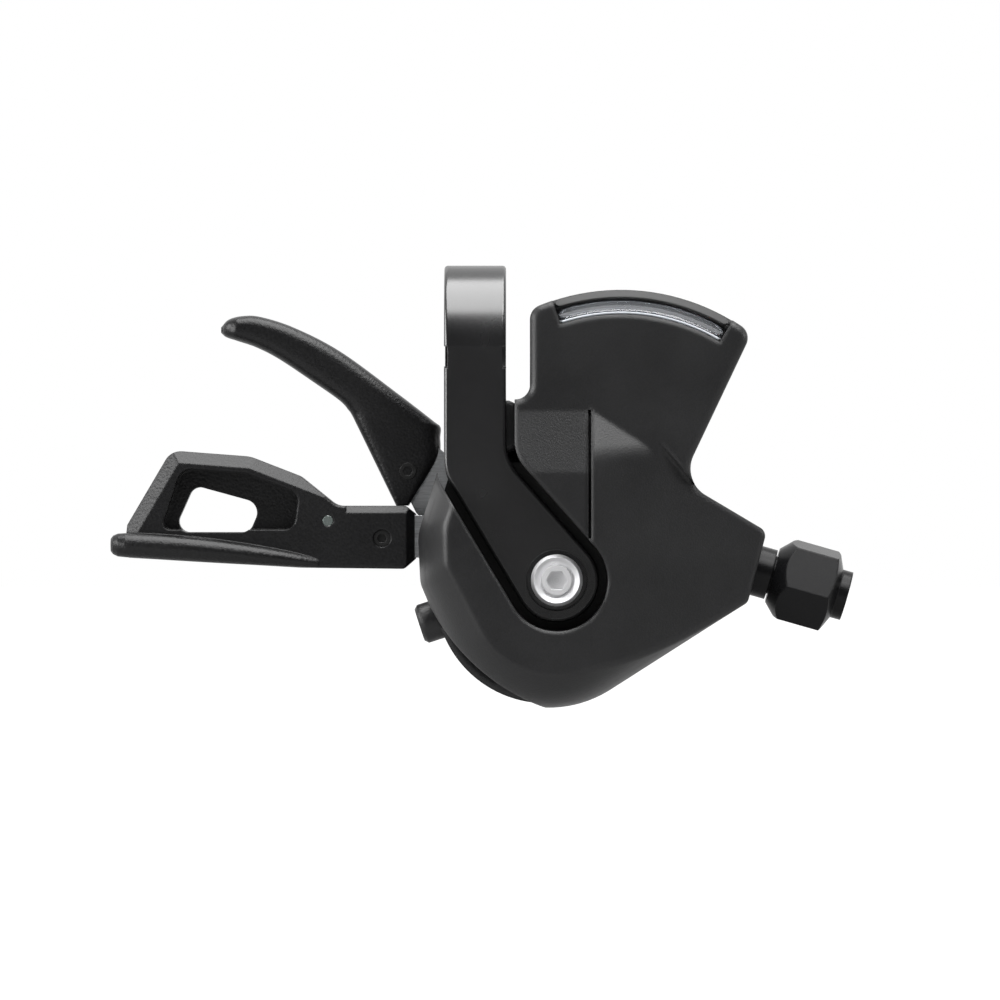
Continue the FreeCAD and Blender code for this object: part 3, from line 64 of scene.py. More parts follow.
# Upper and lower edge of the release lever's horn, from its tip to its root, as (x, z) in
# millimetres. Each pair of points bounds one section of the horn.
HORN_UPPER = [
    (-42.65, 3.75), (-41.4, 5.0), (-39.1, 5.6), (-36.0, 5.45), (-30.3, 3.6), (-22.6, -0.4),
    (-12.9, -7.5), (-7.2, -11.9), (-5.9, -13.0), (-5.9, -14.6), (-6.4, -18.5), (-11.2, -26.2),
]
HORN_LOWER = [
    (-42.65, 2.75), (-41.8, 2.05), (-39.9, 1.4), (-36.8, 0.35), (-33.0, -1.6), (-27.6, -5.2),
    (-22.9, -8.5), (-21.3, -10.2), (-20.7, -11.1), (-19.9, -12.7), (-17.6, -17.4), (-13.3, -26.2),
]
HORN_SECTIONS = 181
HORN_RING = 48
HORN_TIP = 0.16  # share of the horn's length over which it thickens
HORN_BLUNT = 0.1  # share of the tip that is left off, so that it ends blunt
HORN_FRONT = 0.38 * MM  # front of the horn, behind the front of the lever's solid
HORN_WAYS = (0.0, 0.5, 1.0)  # tip, middle and root
HORN_SQUARENESS = (0.75, 0.55, 0.3)  # at the tip, in the middle and at the root

SLAB_RING = 40
SLAB_SQUARENESS = 0.35
SLAB_BLUNT = 0.98  # share of a round end that is kept, so that it closes with a face

WINDOW_SECTIONS = 129
BEAD_RING = 12
RIM_HALF_THICKNESS = 0.25 * MM

STRIP_THICKNESS = 2.5 * MM
WEB_SECTIONS = 33
WEB_HALF_THICKNESS = 0.6 * MM

CAP_RING = 48
CAP_HEAD = 3.8 * MM  # height of the cap's head
CAP_STEM = 2.2 * MM  # radius of its stem
CAP_POLE = 0.01 * MM  # radius of the faces that close its ends
CAP_CORNER = 2.0 * MM  # height of the solid's box that lies beyond the cap's axis

# Depth of a surface's relief, and the rounding of a plain metal edge
GRAIN_DEPTH = 0.06 * MM
FINE_DEPTH = 0.02 * MM
METAL_EDGE = 0.15 * MM
PIT_SHARE = 0.6  # weight of the pits against the fine grain

# Sockets of a Mix node that is set to colours
MIX_FACTOR, MIX_FIRST, MIX_SECOND, MIX_RESULT = 0, 6, 7, 2

DARK_SIDE = 0.08  # share of the white that is left on the photographer's side
FLOOR_HALF = 6.0
LAMP_AIM = (0.0, 0.0, -0.025)

# Name, place in metres, side of the square in metres and power in watts of each lamp
LAMPS = (
    ("top_softbox", (0.05, -0.14, 0.72), 0.8, 13.5),
    ("front_softbox", (0.27, -0.56, 0.6), 0.35, 2.4),
    ("left_softbox", (-0.74, -0.6, 0.08), 0.35, 4.0),
    ("side_softbox", (-0.9, -0.2, 0.28), 0.45, 5.0),
    ("right_softbox", (0.9, -0.35, 0.25), 0.3, 2.0),
)


def colour_property(name, description, default):
    """A linear colour that shows as a swatch."""
    return FloatVectorProperty(name=name, description=description, default=default, size=3,
                               subtype="COLOR", min=0.0, max=1.0)


def share_property(name, description, default):
    """A number from nought to one, such as a roughness."""
    return FloatProperty(name=name, description=description, default=default, min=0.0, max=1.0,
                         subtype="FACTOR")


def length_property(name, description, default):
    """A length in metres."""
    return FloatProperty(name=name, description=description, default=default, unit="LENGTH",
                         subtype="DISTANCE")


def angle_property(name, description, degrees):
    """An angle, given in degrees."""
    return FloatProperty(name=name, description=description, default=math.radians(degrees),
                         subtype="ANGLE")


class ShifterFinishes(bpy.types.PropertyGroup):
    """Colours and surfaces of the shifter's materials."""

    cover_colour: colour_property(
        "Cover", "Colour of the moulded housing", (0.0050, 0.0050, 0.0054))
    lever_colour: colour_property(
        "Levers", "Colour of the moulded levers", (0.0045, 0.0045, 0.0048))
    band_colour: colour_property(
        "Band", "Colour of the clamp band's coating", (0.0040, 0.0040, 0.0044))
    barrel_colour: colour_property(
        "Barrel", "Colour of the adjuster", (0.0060, 0.0060, 0.0064))
    needle_colour: colour_property(
        "Pointer", "Colour of the gear pointer", (0.85, 0.12, 0.03))
    bolt_colour: colour_property(
        "Bolt", "Colour of the plated bolt", (0.84, 0.84, 0.85))
    cover_roughness: share_property(
        "Cover roughness", "Roughness of the housing's fine grain", 0.39)
    lever_roughness: share_property(
        "Lever roughness", "Roughness of the levers' coarse grain", 0.34)
    band_roughness: share_property(
        "Band roughness", "Roughness of the band's satin coating", 0.26)


class ShifterWindow(bpy.types.PropertyGroup):
    """Gear window, an arc about the pointer's post that slants up and back."""

    centre_x: length_property(
        "Centre X", "Centre of the window's arc, along the bar", 23.9 * MM)
    centre_z: length_property(
        "Centre Z", "Centre of the window's arc, in height", -26.2 * MM)
    radius: length_property(
        "Radius", "From the centre to the middle of the glass", 32.45 * MM)
    depth: length_property(
        "Depth", "Middle of the glass, in depth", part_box("window_lens")[0].y + 1.98 * MM)
    slope: angle_property(
        "Slope", "Slope of the glass, from upright towards the back", 62.0)
    half_width: length_property(
        "Half width", "Half of the glass, across its arc", 1.85 * MM)
    half_thickness: length_property(
        "Half thickness", "Half of the glass's thickness", 0.46 * MM)
    first_angle: angle_property(
        "First angle", "Right end of the glass, from +X towards +Z", 59.6)
    last_angle: angle_property(
        "Last angle", "Left end of the glass, from +X towards +Z", 107.9)
    # The bead is a pale strip along the glass's lower edge: a painted highlight.
    bead: length_property(
        "Bead", "Thickness of the polished lower edge", 0.4 * MM)
    rim_radius: length_property(
        "Rim radius", "From the centre to the middle of the rim above the glass", 34.62 * MM)
    rim_half_width: length_property(
        "Rim half width", "Half of the rim, across its arc", 0.72 * MM)
    rim_slope: angle_property(
        "Rim slope", "Slope of the rim, from upright towards the back", 40.0)


class ShifterCover(bpy.types.PropertyGroup):
    """Small moulded forms of the housing."""

    cap_radius: length_property(
        "Cap radius", "Radius of the cable port's cap", 3.3 * MM)
    cap_edge: length_property(
        "Cap edge", "Bevel of the cable port's cap", 0.6 * MM)
    cap_angle: angle_property(
        "Cap angle", "Direction of the cable port, from +X towards +Z", 198.0)
    web_x: length_property(
        "Web X", "Middle of the web behind the clamp strip, along the bar", 5.1 * MM)
    web_half_width: length_property(
        "Web half width", "Half of the web, along the bar", 2.5 * MM)
    web_bottom: length_property(
        "Web bottom", "Lower end of the web", -17.0 * MM)
    web_top: length_property(
        "Web top", "Upper end of the web", -8.9 * MM)
    web_gap: length_property(
        "Web gap", "Room between the clamp strip and the web", 0.4 * MM)


class ShifterStage(bpy.types.PropertyGroup):
    """Camera and floor."""

    aim_x: length_property(
        "Aim X", "Point that the camera looks at, along the bar", 0.0041)
    aim_z: length_property(
        "Aim Z", "Point that the camera looks at, in height", -0.02525)
    distance: length_property(
        "Distance", "From the camera to the face of the clamp strip", 1.2)
    frame_width: length_property(
        "Frame width", "Width of the picture at the clamp strip", 0.16393)
    strip_face: length_property(
        "Strip face", "Depth of the clamp strip's face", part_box("clamp_band")[0].y)
    floor_drop: length_property(
        "Floor drop", "Height of the floor below the clamp's centre", 0.112)
    floor_colour: colour_property(
        "Floor", "Colour of the floor", (0.3, 0.3, 0.3))


class Nodes:
    """Small helper that adds and joins the nodes of one tree."""

    def __init__(self, tree):
        self.tree = tree

    def add(self, kind, label="", **settings):
        """A new node with a label and its settings."""
        node = self.tree.nodes.new(kind)
        node.label = label
        for key, value in settings.items():
            setattr(node, key, value)
        return node

    def join(self, source, target):
        """Links an output socket to an input socket."""
        self.tree.links.new(source, target)

    def fill(self, node, **values):
        """Sets inputs by name, with underscores for spaces: a socket is linked, a value is set."""
        for key, value in values.items():
            socket = node.inputs[key.replace("_", " ")]
            if isinstance(value, bpy.types.NodeSocket):
                self.join(value, socket)
            else:
                socket.default_value = value
        return node

    def math(self, operation, label, first, second):
        """A Math node's result for two sockets or numbers."""
        node = self.add("ShaderNodeMath", label, operation=operation)
        for socket, value in zip(node.inputs, (first, second)):
            if isinstance(value, bpy.types.NodeSocket):
                self.join(value, socket)
            else:
                socket.default_value = value
        return node.outputs[0]


def new_group(name, inputs, outputs):
    """An empty shader node group with named sockets, and its helper, input and output nodes."""
    tree = bpy.data.node_groups.new(name, "ShaderNodeTree")
    for label, kind, default in inputs:
        socket = tree.interface.new_socket(label, in_out="INPUT", socket_type=kind)
        socket.default_value = default
    for label, kind in outputs:
        tree.interface.new_socket(label, in_out="OUTPUT", socket_type=kind)
    nodes = Nodes(tree)
    return nodes, nodes.add("NodeGroupInput"), nodes.add("NodeGroupOutput")


def moulded_grain():
    """Group for spark-eroded plastic: colour and roughness that vary, and the grain's height.

    The height is fine noise plus a share of the distance to the nearest pit. It brightens the
    colour, and broad handling marks vary both the colour and the roughness.
    """
    found = bpy.data.node_groups.get("moulded_grain")
    if found:
        return found
    nodes, given, made = new_group(
        "moulded_grain",
        [
            ("Grain", "NodeSocketFloat", 3000.0),
            ("Colour", "NodeSocketColor", (0.01, 0.01, 0.01, 1.0)),
            ("Speckle", "NodeSocketFloat", 0.5),
            ("Roughness", "NodeSocketFloat", 0.5),
        ],
        [
            ("Colour", "NodeSocketColor"),
            ("Roughness", "NodeSocketFloat"),
            ("Height", "NodeSocketFloat"),
        ],
    )
    place = nodes.add("ShaderNodeTexCoord").outputs["Object"]
    size = given.outputs["Grain"]
    fine = nodes.add("ShaderNodeTexNoise", "fine grain")
    nodes.fill(fine, Vector=place, Scale=size, Detail=3.0, Roughness=0.6)
    pits = nodes.add("ShaderNodeTexVoronoi", "pits")
    nodes.fill(pits, Vector=place, Scale=size)
    broad = nodes.add("ShaderNodeTexNoise", "handling marks")
    nodes.fill(broad, Vector=place, Scale=70.0, Detail=3.0, Roughness=0.55)
    height = nodes.add("ShaderNodeMath", "grain height", operation="MULTIPLY_ADD")
    nodes.join(pits.outputs["Distance"], height.inputs[0])
    height.inputs[1].default_value = PIT_SHARE
    nodes.join(fine.outputs["Fac"], height.inputs[2])
    bright = nodes.add("ShaderNodeMapRange", "speckle gain")
    nodes.fill(bright, Value=height.outputs[0], From_Min=0.45, From_Max=1.05)
    nodes.fill(bright, To_Min=0.72, To_Max=1.55)
    even = nodes.add("ShaderNodeMapRange", "broad gain")
    nodes.fill(even, Value=broad.outputs["Fac"], From_Min=0.3, From_Max=0.7)
    nodes.fill(even, To_Min=0.9, To_Max=1.1)
    gain = nodes.math("MULTIPLY", "both gains", bright.outputs["Result"], even.outputs["Result"])
    shade = nodes.add("ShaderNodeVectorMath", "shaded colour", operation="SCALE")
    nodes.join(given.outputs["Colour"], shade.inputs[0])
    nodes.join(gain, shade.inputs["Scale"])
    mixed = nodes.add("ShaderNodeMix", "speckled colour", data_type="RGBA")
    nodes.join(given.outputs["Speckle"], mixed.inputs[MIX_FACTOR])
    nodes.join(given.outputs["Colour"], mixed.inputs[MIX_FIRST])
    nodes.join(shade.outputs[0], mixed.inputs[MIX_SECOND])
    rough = nodes.math("MULTIPLY", "roughness", given.outputs["Roughness"], even.outputs["Result"])
    nodes.fill(made, Colour=mixed.outputs[MIX_RESULT], Roughness=rough, Height=height.outputs[0])
    return nodes.tree


def drawn_lines():
    """Group for rolled or turned metal: colour and roughness that vary, and the lines' height.

    Noise on a stretched vector gives the lines. They darken the colour and roughen it alike.
    """
    found = bpy.data.node_groups.get("drawn_lines")
    if found:
        return found
    nodes, given, made = new_group(
        "drawn_lines",
        [
            ("Vector", "NodeSocketVector", (0.0, 0.0, 0.0)),
            ("Colour", "NodeSocketColor", (0.5, 0.5, 0.5, 1.0)),
            ("Roughness", "NodeSocketFloat", 0.3),
            ("Lines", "NodeSocketFloat", 0.3),
        ],
        [
            ("Colour", "NodeSocketColor"),
            ("Roughness", "NodeSocketFloat"),
            ("Height", "NodeSocketFloat"),
        ],
    )
    lines = nodes.add("ShaderNodeTexNoise", "lines")
    nodes.fill(lines, Vector=given.outputs["Vector"], Scale=1.0, Detail=4.0, Roughness=0.65)
    darkest = nodes.math("SUBTRACT", "darkest", 1.0, given.outputs["Lines"])
    gain = nodes.add("ShaderNodeMapRange", "gain")
    nodes.fill(gain, Value=lines.outputs["Fac"], From_Min=0.3, From_Max=0.7)
    nodes.fill(gain, To_Min=darkest, To_Max=1.0)
    shade = nodes.add("ShaderNodeVectorMath", "shaded colour", operation="SCALE")
    nodes.join(given.outputs["Colour"], shade.inputs[0])
    nodes.join(gain.outputs["Result"], shade.inputs["Scale"])
    rough = nodes.math("DIVIDE", "roughness", given.outputs["Roughness"], gain.outputs["Result"])
    nodes.fill(made, Colour=shade.outputs[0], Roughness=rough, Height=lines.outputs["Fac"])
    return nodes.tree


def new_material(name):
    """A material with a Principled BSDF, its node helper and the shader node."""
    material = bpy.data.materials.new(name)
    material.use_nodes = True
    nodes = Nodes(material.node_tree)
    return material, nodes, material.node_tree.nodes["Principled BSDF"]


def rgba(colour):
    """A colour property as four numbers."""
    return (*colour, 1.0)


def surface_group(nodes, shader, tree, label, **values):
    """Places an effect's group, which drives the shader's colour and roughness, and gives it."""
    group = nodes.add("ShaderNodeGroup", label)
    group.node_tree = tree
    nodes.fill(group, **values)
    nodes.join(group.outputs["Colour"], shader.inputs["Base Color"])
    nodes.join(group.outputs["Roughness"], shader.inputs["Roughness"])
    return group


def bumped(nodes, shader, height, strength, depth, edge):
    """Feeds a height through a Bump node to the shader's normal, over edges rounded to a radius."""
    bump = nodes.add("ShaderNodeBump", "surface")
    nodes.fill(bump, Height=height, Strength=strength, Distance=depth)
    rounded = nodes.add("ShaderNodeBevel", "rounded edges", samples=6)
    rounded.inputs["Radius"].default_value = edge
    nodes.join(rounded.outputs["Normal"], bump.inputs["Normal"])
    nodes.join(bump.outputs["Normal"], shader.inputs["Normal"])


def moulded_plastic(name, colour, roughness, grain, speckle, bump, gloss, edge):
    """Moulded plastic: the grain group drives colour, roughness and bump."""
    material, nodes, shader = new_material(name)
    group = surface_group(nodes, shader, moulded_grain(), "grain", Grain=grain,
                          Colour=rgba(colour), Speckle=speckle, Roughness=roughness)
    shader.inputs["Specular IOR Level"].default_value = gloss
    bumped(nodes, shader, group.outputs["Height"], bump, GRAIN_DEPTH, edge)
    return material


def lined_metal(name, colour, roughness, lines, per_metre, turned_about=None, metallic=1.0):
    """Metal with drawn lines, or with lines turned about a Y axis through a point (x, z).

    The lines follow the place times their number per metre along each axis. Turned lines follow
    the distance from the axis.
    """
    material, nodes, shader = new_material(name)
    vector = nodes.add("ShaderNodeTexCoord").outputs["Object"]
    if turned_about:
        centred = nodes.add("ShaderNodeMapping", "centre of turning")
        nodes.fill(centred, Vector=vector, Location=(-turned_about[0], 0.0, -turned_about[1]))
        flat = nodes.add("ShaderNodeVectorMath", "across the axis", operation="MULTIPLY")
        nodes.join(centred.outputs["Vector"], flat.inputs[0])
        flat.inputs[1].default_value = (1.0, 0.0, 1.0)
        reach = nodes.add("ShaderNodeVectorMath", "distance from the axis", operation="LENGTH")
        nodes.join(flat.outputs[0], reach.inputs[0])
        vector = reach.outputs["Value"]
    stretched = nodes.add("ShaderNodeVectorMath", "line spacing", operation="MULTIPLY")
    nodes.join(vector, stretched.inputs[0])
    stretched.inputs[1].default_value = per_metre
    group = surface_group(nodes, shader, drawn_lines(), "lines", Vector=stretched.outputs[0],
                          Colour=rgba(colour), Roughness=roughness, Lines=lines)
    shader.inputs["Metallic"].default_value = metallic
    bumped(nodes, shader, group.outputs["Height"], 0.15, FINE_DEPTH, METAL_EDGE)
    return material


def coated_metal(name, colour, roughness, gloss, edge):
    """Satin black coating: slow changes of roughness and a very fine orange-peel bump."""
    material, nodes, shader = new_material(name)
    group = surface_group(nodes, shader, moulded_grain(), "coating", Grain=1500.0,
                          Colour=rgba(colour), Speckle=0.25, Roughness=roughness)
    shader.inputs["Specular IOR Level"].default_value = gloss
    bumped(nodes, shader, group.outputs["Height"], 0.05, FINE_DEPTH, edge)
    return material


def clear_window(name):
    """Clear moulded window, with a faint tint and a roughness that vary with its haze."""
    material, nodes, shader = new_material(name)
    place = nodes.add("ShaderNodeTexCoord").outputs["Object"]
    haze = nodes.add("ShaderNodeTexNoise", "haze")
    nodes.fill(haze, Vector=place, Scale=400.0, Detail=2.0)
    rough = nodes.add("ShaderNodeMapRange", "roughness")
    nodes.fill(rough, Value=haze.outputs["Fac"], To_Min=0.01, To_Max=0.05)
    nodes.join(rough.outputs["Result"], shader.inputs["Roughness"])
    tint = nodes.add("ShaderNodeMix", "tint", data_type="RGBA")
    nodes.join(haze.outputs["Fac"], tint.inputs[MIX_FACTOR])
    tint.inputs[MIX_FIRST].default_value = (0.80, 0.84, 0.90, 1.0)
    tint.inputs[MIX_SECOND].default_value = (0.88, 0.91, 0.95, 1.0)
    nodes.join(tint.outputs[MIX_RESULT], shader.inputs["Base Color"])
    shader.inputs["Transmission Weight"].default_value = 0.95
    shader.inputs["IOR"].default_value = 1.49
    return material


def new_piece(name, points, faces, sharp):
    """A mesh object at the origin, smooth but for edges over the sharp angle."""
    mesh = bpy.data.meshes.new(name)
    mesh.from_pydata(points.tolist(), [], faces)
    shell = bmesh.new()
    shell.from_mesh(mesh)
    bmesh.ops.recalc_face_normals(shell, faces=shell.faces)
    shell.to_mesh(mesh)
    shell.free()
    mesh.shade_smooth()
    mesh.set_sharp_from_angle(angle=sharp)
    piece = bpy.data.objects.new(name, mesh)
    bpy.context.scene.collection.objects.link(piece)
    return piece


def ring_faces(sections, ring):
    """Faces of a closed tube: quads between neighbouring sections, and one face on each end."""
    here = np.arange((sections - 1) * ring).reshape(sections - 1, ring)
    after = np.roll(here, -1, axis=1)
    quads = np.stack([here, here + ring, after + ring, after], axis=-1).reshape(-1, 4)
    last = (sections - 1) * ring
    caps = [list(range(ring)), list(range(last + ring - 1, last - 1, -1))]
    return quads.tolist() + caps


def rounded_ring(ring, squareness):
    """Cosine and sine round a section, with their sign kept and raised to the squareness.

    A squareness of 1 gives an ellipse, and a small one a rectangle with rounded corners.
    """
    turn = np.linspace(0.0, 2.0 * math.pi, ring, endpoint=False)
    wide = np.sign(np.cos(turn)) * np.abs(np.cos(turn)) ** squareness
    thick = np.sign(np.sin(turn)) * np.abs(np.sin(turn)) ** squareness
    return wide, thick


def bent_slab(name, arc, half_width, half_thickness, squareness=SLAB_SQUARENESS, ring=SLAB_RING):
    """A slab with rounded corners and round ends, carried along a path.

    The arc holds the path, the directions across it and those out of it. Point (i, j) is the
    path's point i, plus half_width times the rounded cosine of angle j along the across direction,
    plus half_thickness times its rounded sine along the normal. The width shrinks by the square
    root of one less the square of the way into an end, so the ends are round.
    """
    path, across, normal = arc
    wide, thick = rounded_ring(ring, squareness)
    length = np.linalg.norm(np.diff(path, axis=0), axis=1).sum()
    end = 2.0 * half_width / length
    way = np.linspace(-1.0, 1.0, len(path))
    into = np.clip((np.abs(way) - 1.0 + end) / end, 0.0, SLAB_BLUNT)
    shrunk = half_width * np.sqrt(1.0 - into ** 2)
    flat = across[:, None, :] * shrunk[:, None, None] * wide[None, :, None]
    deep = normal[:, None, :] * (half_thickness * thick)[None, :, None]
    points = (path[:, None, :] + flat + deep).reshape(-1, 3)
    return new_piece(name, points, ring_faces(len(path), ring), SLAB_SHARP)


def smooth_curve(corners, way):
    """Points on a Catmull-Rom curve through corners, at a way along it from nought to one.

    From one corner to the next it is a cubic. At each corner, its slope is half of the step from
    the corner before to the corner after.
    """
    corners = np.array(corners) * MM
    padded = np.vstack([2 * corners[0] - corners[1], corners, 2 * corners[-1] - corners[-2]])
    place = way * (len(corners) - 1)
    index = np.minimum(place.astype(int), len(corners) - 2)
    part = (place - index)[:, None]
    before, start, stop, after = (padded[index + step] for step in range(4))
    cubed = 3 * start - before - 3 * stop + after
    squared = 2 * before - 5 * start + 4 * stop - after
    return start + 0.5 * part * (stop - before + part * (squared + part * cubed))


def release_horn():
    """The upper lever's horn: rounded sections between two curves, thicker and squarer to its root.

    Section i joins the lower curve's point i to the upper curve's. Point (i, j) is the section's
    middle, plus half of its width times the rounded cosine of angle j, plus half of its thickness
    times the rounded sine along Y. The squareness falls from tip to root. Over the tip, the
    thickness grows as the square root of the way from the end.
    """
    way = np.linspace(0.0, 1.0, HORN_SECTIONS)
    upper, lower = smooth_curve(HORN_UPPER, way), smooth_curve(HORN_LOWER, way)
    low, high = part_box("release_lever_pad")
    front, rear = low.y + HORN_FRONT, high.y
    half = (rear - front) / 2 * np.sqrt(np.clip(way / HORN_TIP, HORN_BLUNT, 1.0))
    square = np.interp(way, HORN_WAYS, HORN_SQUARENESS)[:, None]
    wide, thick = rounded_ring(HORN_RING, square)
    flat = ((upper + lower) / 2)[:, None] + ((upper - lower) / 2)[:, None] * wide[..., None]
    depth = (front + rear) / 2 + half[:, None] * thick
    points = np.stack([flat[..., 0], depth, flat[..., 1]], axis=-1).reshape(-1, 3)
    return new_piece("release_horn", points, ring_faces(len(way), HORN_RING), SLAB_SHARP)


def window_arc(window, radius, depth, slope):
    """Path of an arc about the post at a radius and a depth, with directions across and out of it.

    Point i is the centre plus the radius along angle i, from +X towards +Z. The across direction
    is the outward one turned back by the slope, and the normal is square to it.
    """
    angle = np.linspace(window.first_angle, window.last_angle, WINDOW_SECTIONS)
    outward = np.column_stack([np.cos(angle), np.zeros_like(angle), np.sin(angle)])
    path = np.array([window.centre_x, depth, window.centre_z]) + radius * outward
    across = math.cos(slope) * outward + math.sin(slope) * BACKWARD
    normal = math.sin(slope) * outward - math.cos(slope) * BACKWARD
    return path, across, normal


def window_pieces(window):
    """The glass with round ends, the pale bead on its lower edge, which is a painted highlight, and
    the rim above it.
    """
    glass_arc = window_arc(window, window.radius, window.depth, window.slope)
    glass = bent_slab("window_glass", glass_arc, window.half_width, window.half_thickness)
    bead_radius = window.radius - window.half_width * math.cos(window.slope)
    bead_depth = window.depth - window.half_width * math.sin(window.slope)
    bead_arc = window_arc(window, bead_radius, bead_depth, window.slope)
    half_bead = window.bead / 2
    bead = bent_slab("window_edge", bead_arc, half_bead, half_bead, 1.0, BEAD_RING)
    rim_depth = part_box("window_lens")[1].y - window.rim_half_width
    rim_arc = window_arc(window, window.rim_radius, rim_depth, window.rim_slope)
    rim = bent_slab("window_rim", rim_arc, window.rim_half_width, RIM_HALF_THICKNESS)
    return glass, bead, rim


def strip_web(cover):
    """The web behind the clamp strip: a slab along an upright line, facing the front."""
    strip_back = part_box("clamp_band")[0].y + STRIP_THICKNESS
    depth = strip_back + cover.web_gap + WEB_HALF_THICKNESS
    height = np.linspace(cover.web_bottom, cover.web_top, WEB_SECTIONS)
    path = np.column_stack([np.full_like(height, cover.web_x), np.full_like(height, depth), height])
    across = np.tile([1.0, 0.0, 0.0], (WEB_SECTIONS, 1))
    normal = np.tile(-BACKWARD, (WEB_SECTIONS, 1))
    arc = (path, across, normal)
    return bent_slab("strip_web", arc, cover.web_half_width, WEB_HALF_THICKNESS)


def port_cap(cover):
    """The cable port's cap: a stem and a bevelled head, turned about the port's axis.

    Point (i, j) is the middle, plus reach i along the axis, plus radius i at angle j round it.
    """
    low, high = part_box("cable_port_cap")
    along = np.array([math.cos(cover.cap_angle), 0.0, math.sin(cover.cap_angle)])
    depth = (low.y + high.y) / 2
    corners = np.array([(x, depth, z) for x in (low.x, high.x) for z in (low.z, high.z)])
    middle = corners.mean(axis=0)
    half = np.abs((corners - middle) @ along).max() - abs(along[2]) * CAP_CORNER
    neck, edge = half - CAP_HEAD, half - cover.cap_edge
    head, face = cover.cap_radius, cover.cap_radius - cover.cap_edge
    reach = np.array([-half, -half, neck, neck, edge, half, half])
    radius = np.array([CAP_POLE, CAP_STEM, CAP_STEM, head, head, face, CAP_POLE])
    turn = np.linspace(0.0, 2.0 * math.pi, CAP_RING, endpoint=False)
    side = np.array([-along[2], 0.0, along[0]])
    outward = np.cos(turn)[:, None] * side + np.sin(turn)[:, None] * BACKWARD
    points = middle + reach[:, None, None] * along + radius[:, None, None] * outward[None]
    return new_piece("port_cap", points.reshape(-1, 3), ring_faces(len(reach), CAP_RING), CAP_SHARP)


def set_material(material, *names):
    """Gives CAD nodes or new pieces one material in place of their own."""
    for name in names:
        slots = bpy.data.objects[name].data.materials
        slots.clear()
        slots.append(material)


def fit_to_housing(piece, material):
    """Finishes a new piece with a material and fixes it to the housing."""
    set_material(material, piece.name)
    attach(piece, "housing")


class SHIFTER_OT_housing(bpy.types.Operator):
    """Fine-grained covers, with the port's cap and the web behind the clamp strip"""

    bl_idname = "shifter.housing"
    bl_label = "Housing"

    def execute(self, context):
        finishes = context.scene.shifter_finishes
        cover = moulded_plastic(
            "cover_plastic", finishes.cover_colour, finishes.cover_roughness,
            grain=3400.0, speckle=0.8, bump=0.3, gloss=0.5, edge=1.2 * MM)
        set_material(cover, "front_cover", "rear_cover")
        forms = context.scene.shifter_cover
        cap = port_cap(forms)
        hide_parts("cable_port_cap")
        fit_to_housing(cap, cover)
        fit_to_housing(strip_web(forms), cover)
        return {"FINISHED"}


class SHIFTER_OT_levers(bpy.types.Operator):
    """Coarse-grained lever and rounded horn, with their steel arms and the pin"""

    bl_idname = "shifter.levers"
    bl_label = "Levers"

    def execute(self, context):
        finishes = context.scene.shifter_finishes
        grain = moulded_plastic(
            "lever_plastic", finishes.lever_colour, finishes.lever_roughness,
            grain=2100.0, speckle=1.0, bump=0.75, gloss=0.32, edge=0.4 * MM)
        set_material(grain, "main_lever_pad")
        horn = release_horn()
        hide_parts("release_lever_pad")
        set_material(grain, horn.name)
        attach(horn, "release_lever")
        arm = lined_metal("arm_steel", colour=(0.52, 0.53, 0.54), roughness=0.34, lines=0.45,
                          per_metre=(260.0, 3000.0, 3000.0))
        set_material(arm, "main_lever_arm", "release_lever_arm")
        pin = lined_metal("pin_steel", colour=(0.20, 0.23, 0.22), roughness=0.4, lines=0.35,
                          per_metre=(3000.0, 3000.0, 3000.0))
        set_material(pin, "main_lever_pin")
        return {"FINISHED"}


class SHIFTER_OT_clamp(bpy.types.Operator):
    """Satin clamp band and its bright bolt"""

    bl_idname = "shifter.clamp"
    bl_label = "Clamp"

    def execute(self, context):
        finishes = context.scene.shifter_finishes
        band = coated_metal("band_metal", finishes.band_colour, finishes.band_roughness,
                            gloss=0.95, edge=0.12 * MM)
        set_material(band, "clamp_band")
        low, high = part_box("clamp_bolt")
        centre = ((low.x + high.x) / 2, (low.z + high.z) / 2)
        bolt = lined_metal("bolt_steel", finishes.bolt_colour, roughness=0.46, lines=0.2,
                           per_metre=(5000.0, 5000.0, 5000.0), turned_about=centre, metallic=0.7)
        set_material(bolt, "clamp_bolt")
        return {"FINISHED"}


class SHIFTER_OT_adjuster(bpy.types.Operator):
    """Half-gloss barrel adjuster and its core"""

    bl_idname = "shifter.adjuster"
    bl_label = "Adjuster"

    def execute(self, context):
        finishes = context.scene.shifter_finishes
        barrel = moulded_plastic(
            "barrel_plastic", finishes.barrel_colour, roughness=0.25,
            grain=3600.0, speckle=0.4, bump=0.1, gloss=0.15, edge=0.4 * MM)
        set_material(barrel, "adjuster_barrel", "adjuster_core")
        return {"FINISHED"}


class SHIFTER_OT_window(bpy.types.Operator):
    """Clear window with a pale bead of painted highlight on its edge, its rim, the pointer and the
    dial
    """

    bl_idname = "shifter.window"
    bl_label = "Gear window"

    def execute(self, context):
        finishes = context.scene.shifter_finishes
        glass, bead, rim = window_pieces(context.scene.shifter_window)
        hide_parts("window_lens")
        fit_to_housing(glass, clear_window("window_clear"))
        # Pale grey colour of the bead: a painted highlight where the glass's edge catches the
        # light.
        highlighted = moulded_plastic(
            "painted_highlight_edge", colour=(0.4, 0.42, 0.45), roughness=0.25,
            grain=3600.0, speckle=0.3, bump=0.05, gloss=0.5, edge=0.05 * MM)
        fit_to_housing(bead, highlighted)
        fit_to_housing(rim, bpy.data.materials["cover_plastic"])
        red = moulded_plastic(
            "needle_red", finishes.needle_colour, roughness=0.35,
            grain=3600.0, speckle=0.3, bump=0.1, gloss=0.5, edge=0.05 * MM)
        set_material(red, "indicator_needle")
        grey = moulded_plastic(
            "dial_grey", colour=(0.35, 0.36, 0.37), roughness=0.5,
            grain=3600.0, speckle=0.4, bump=0.2, gloss=0.4, edge=0.05 * MM)
        set_material(grey, "dial_plate")
        return {"FINISHED"}


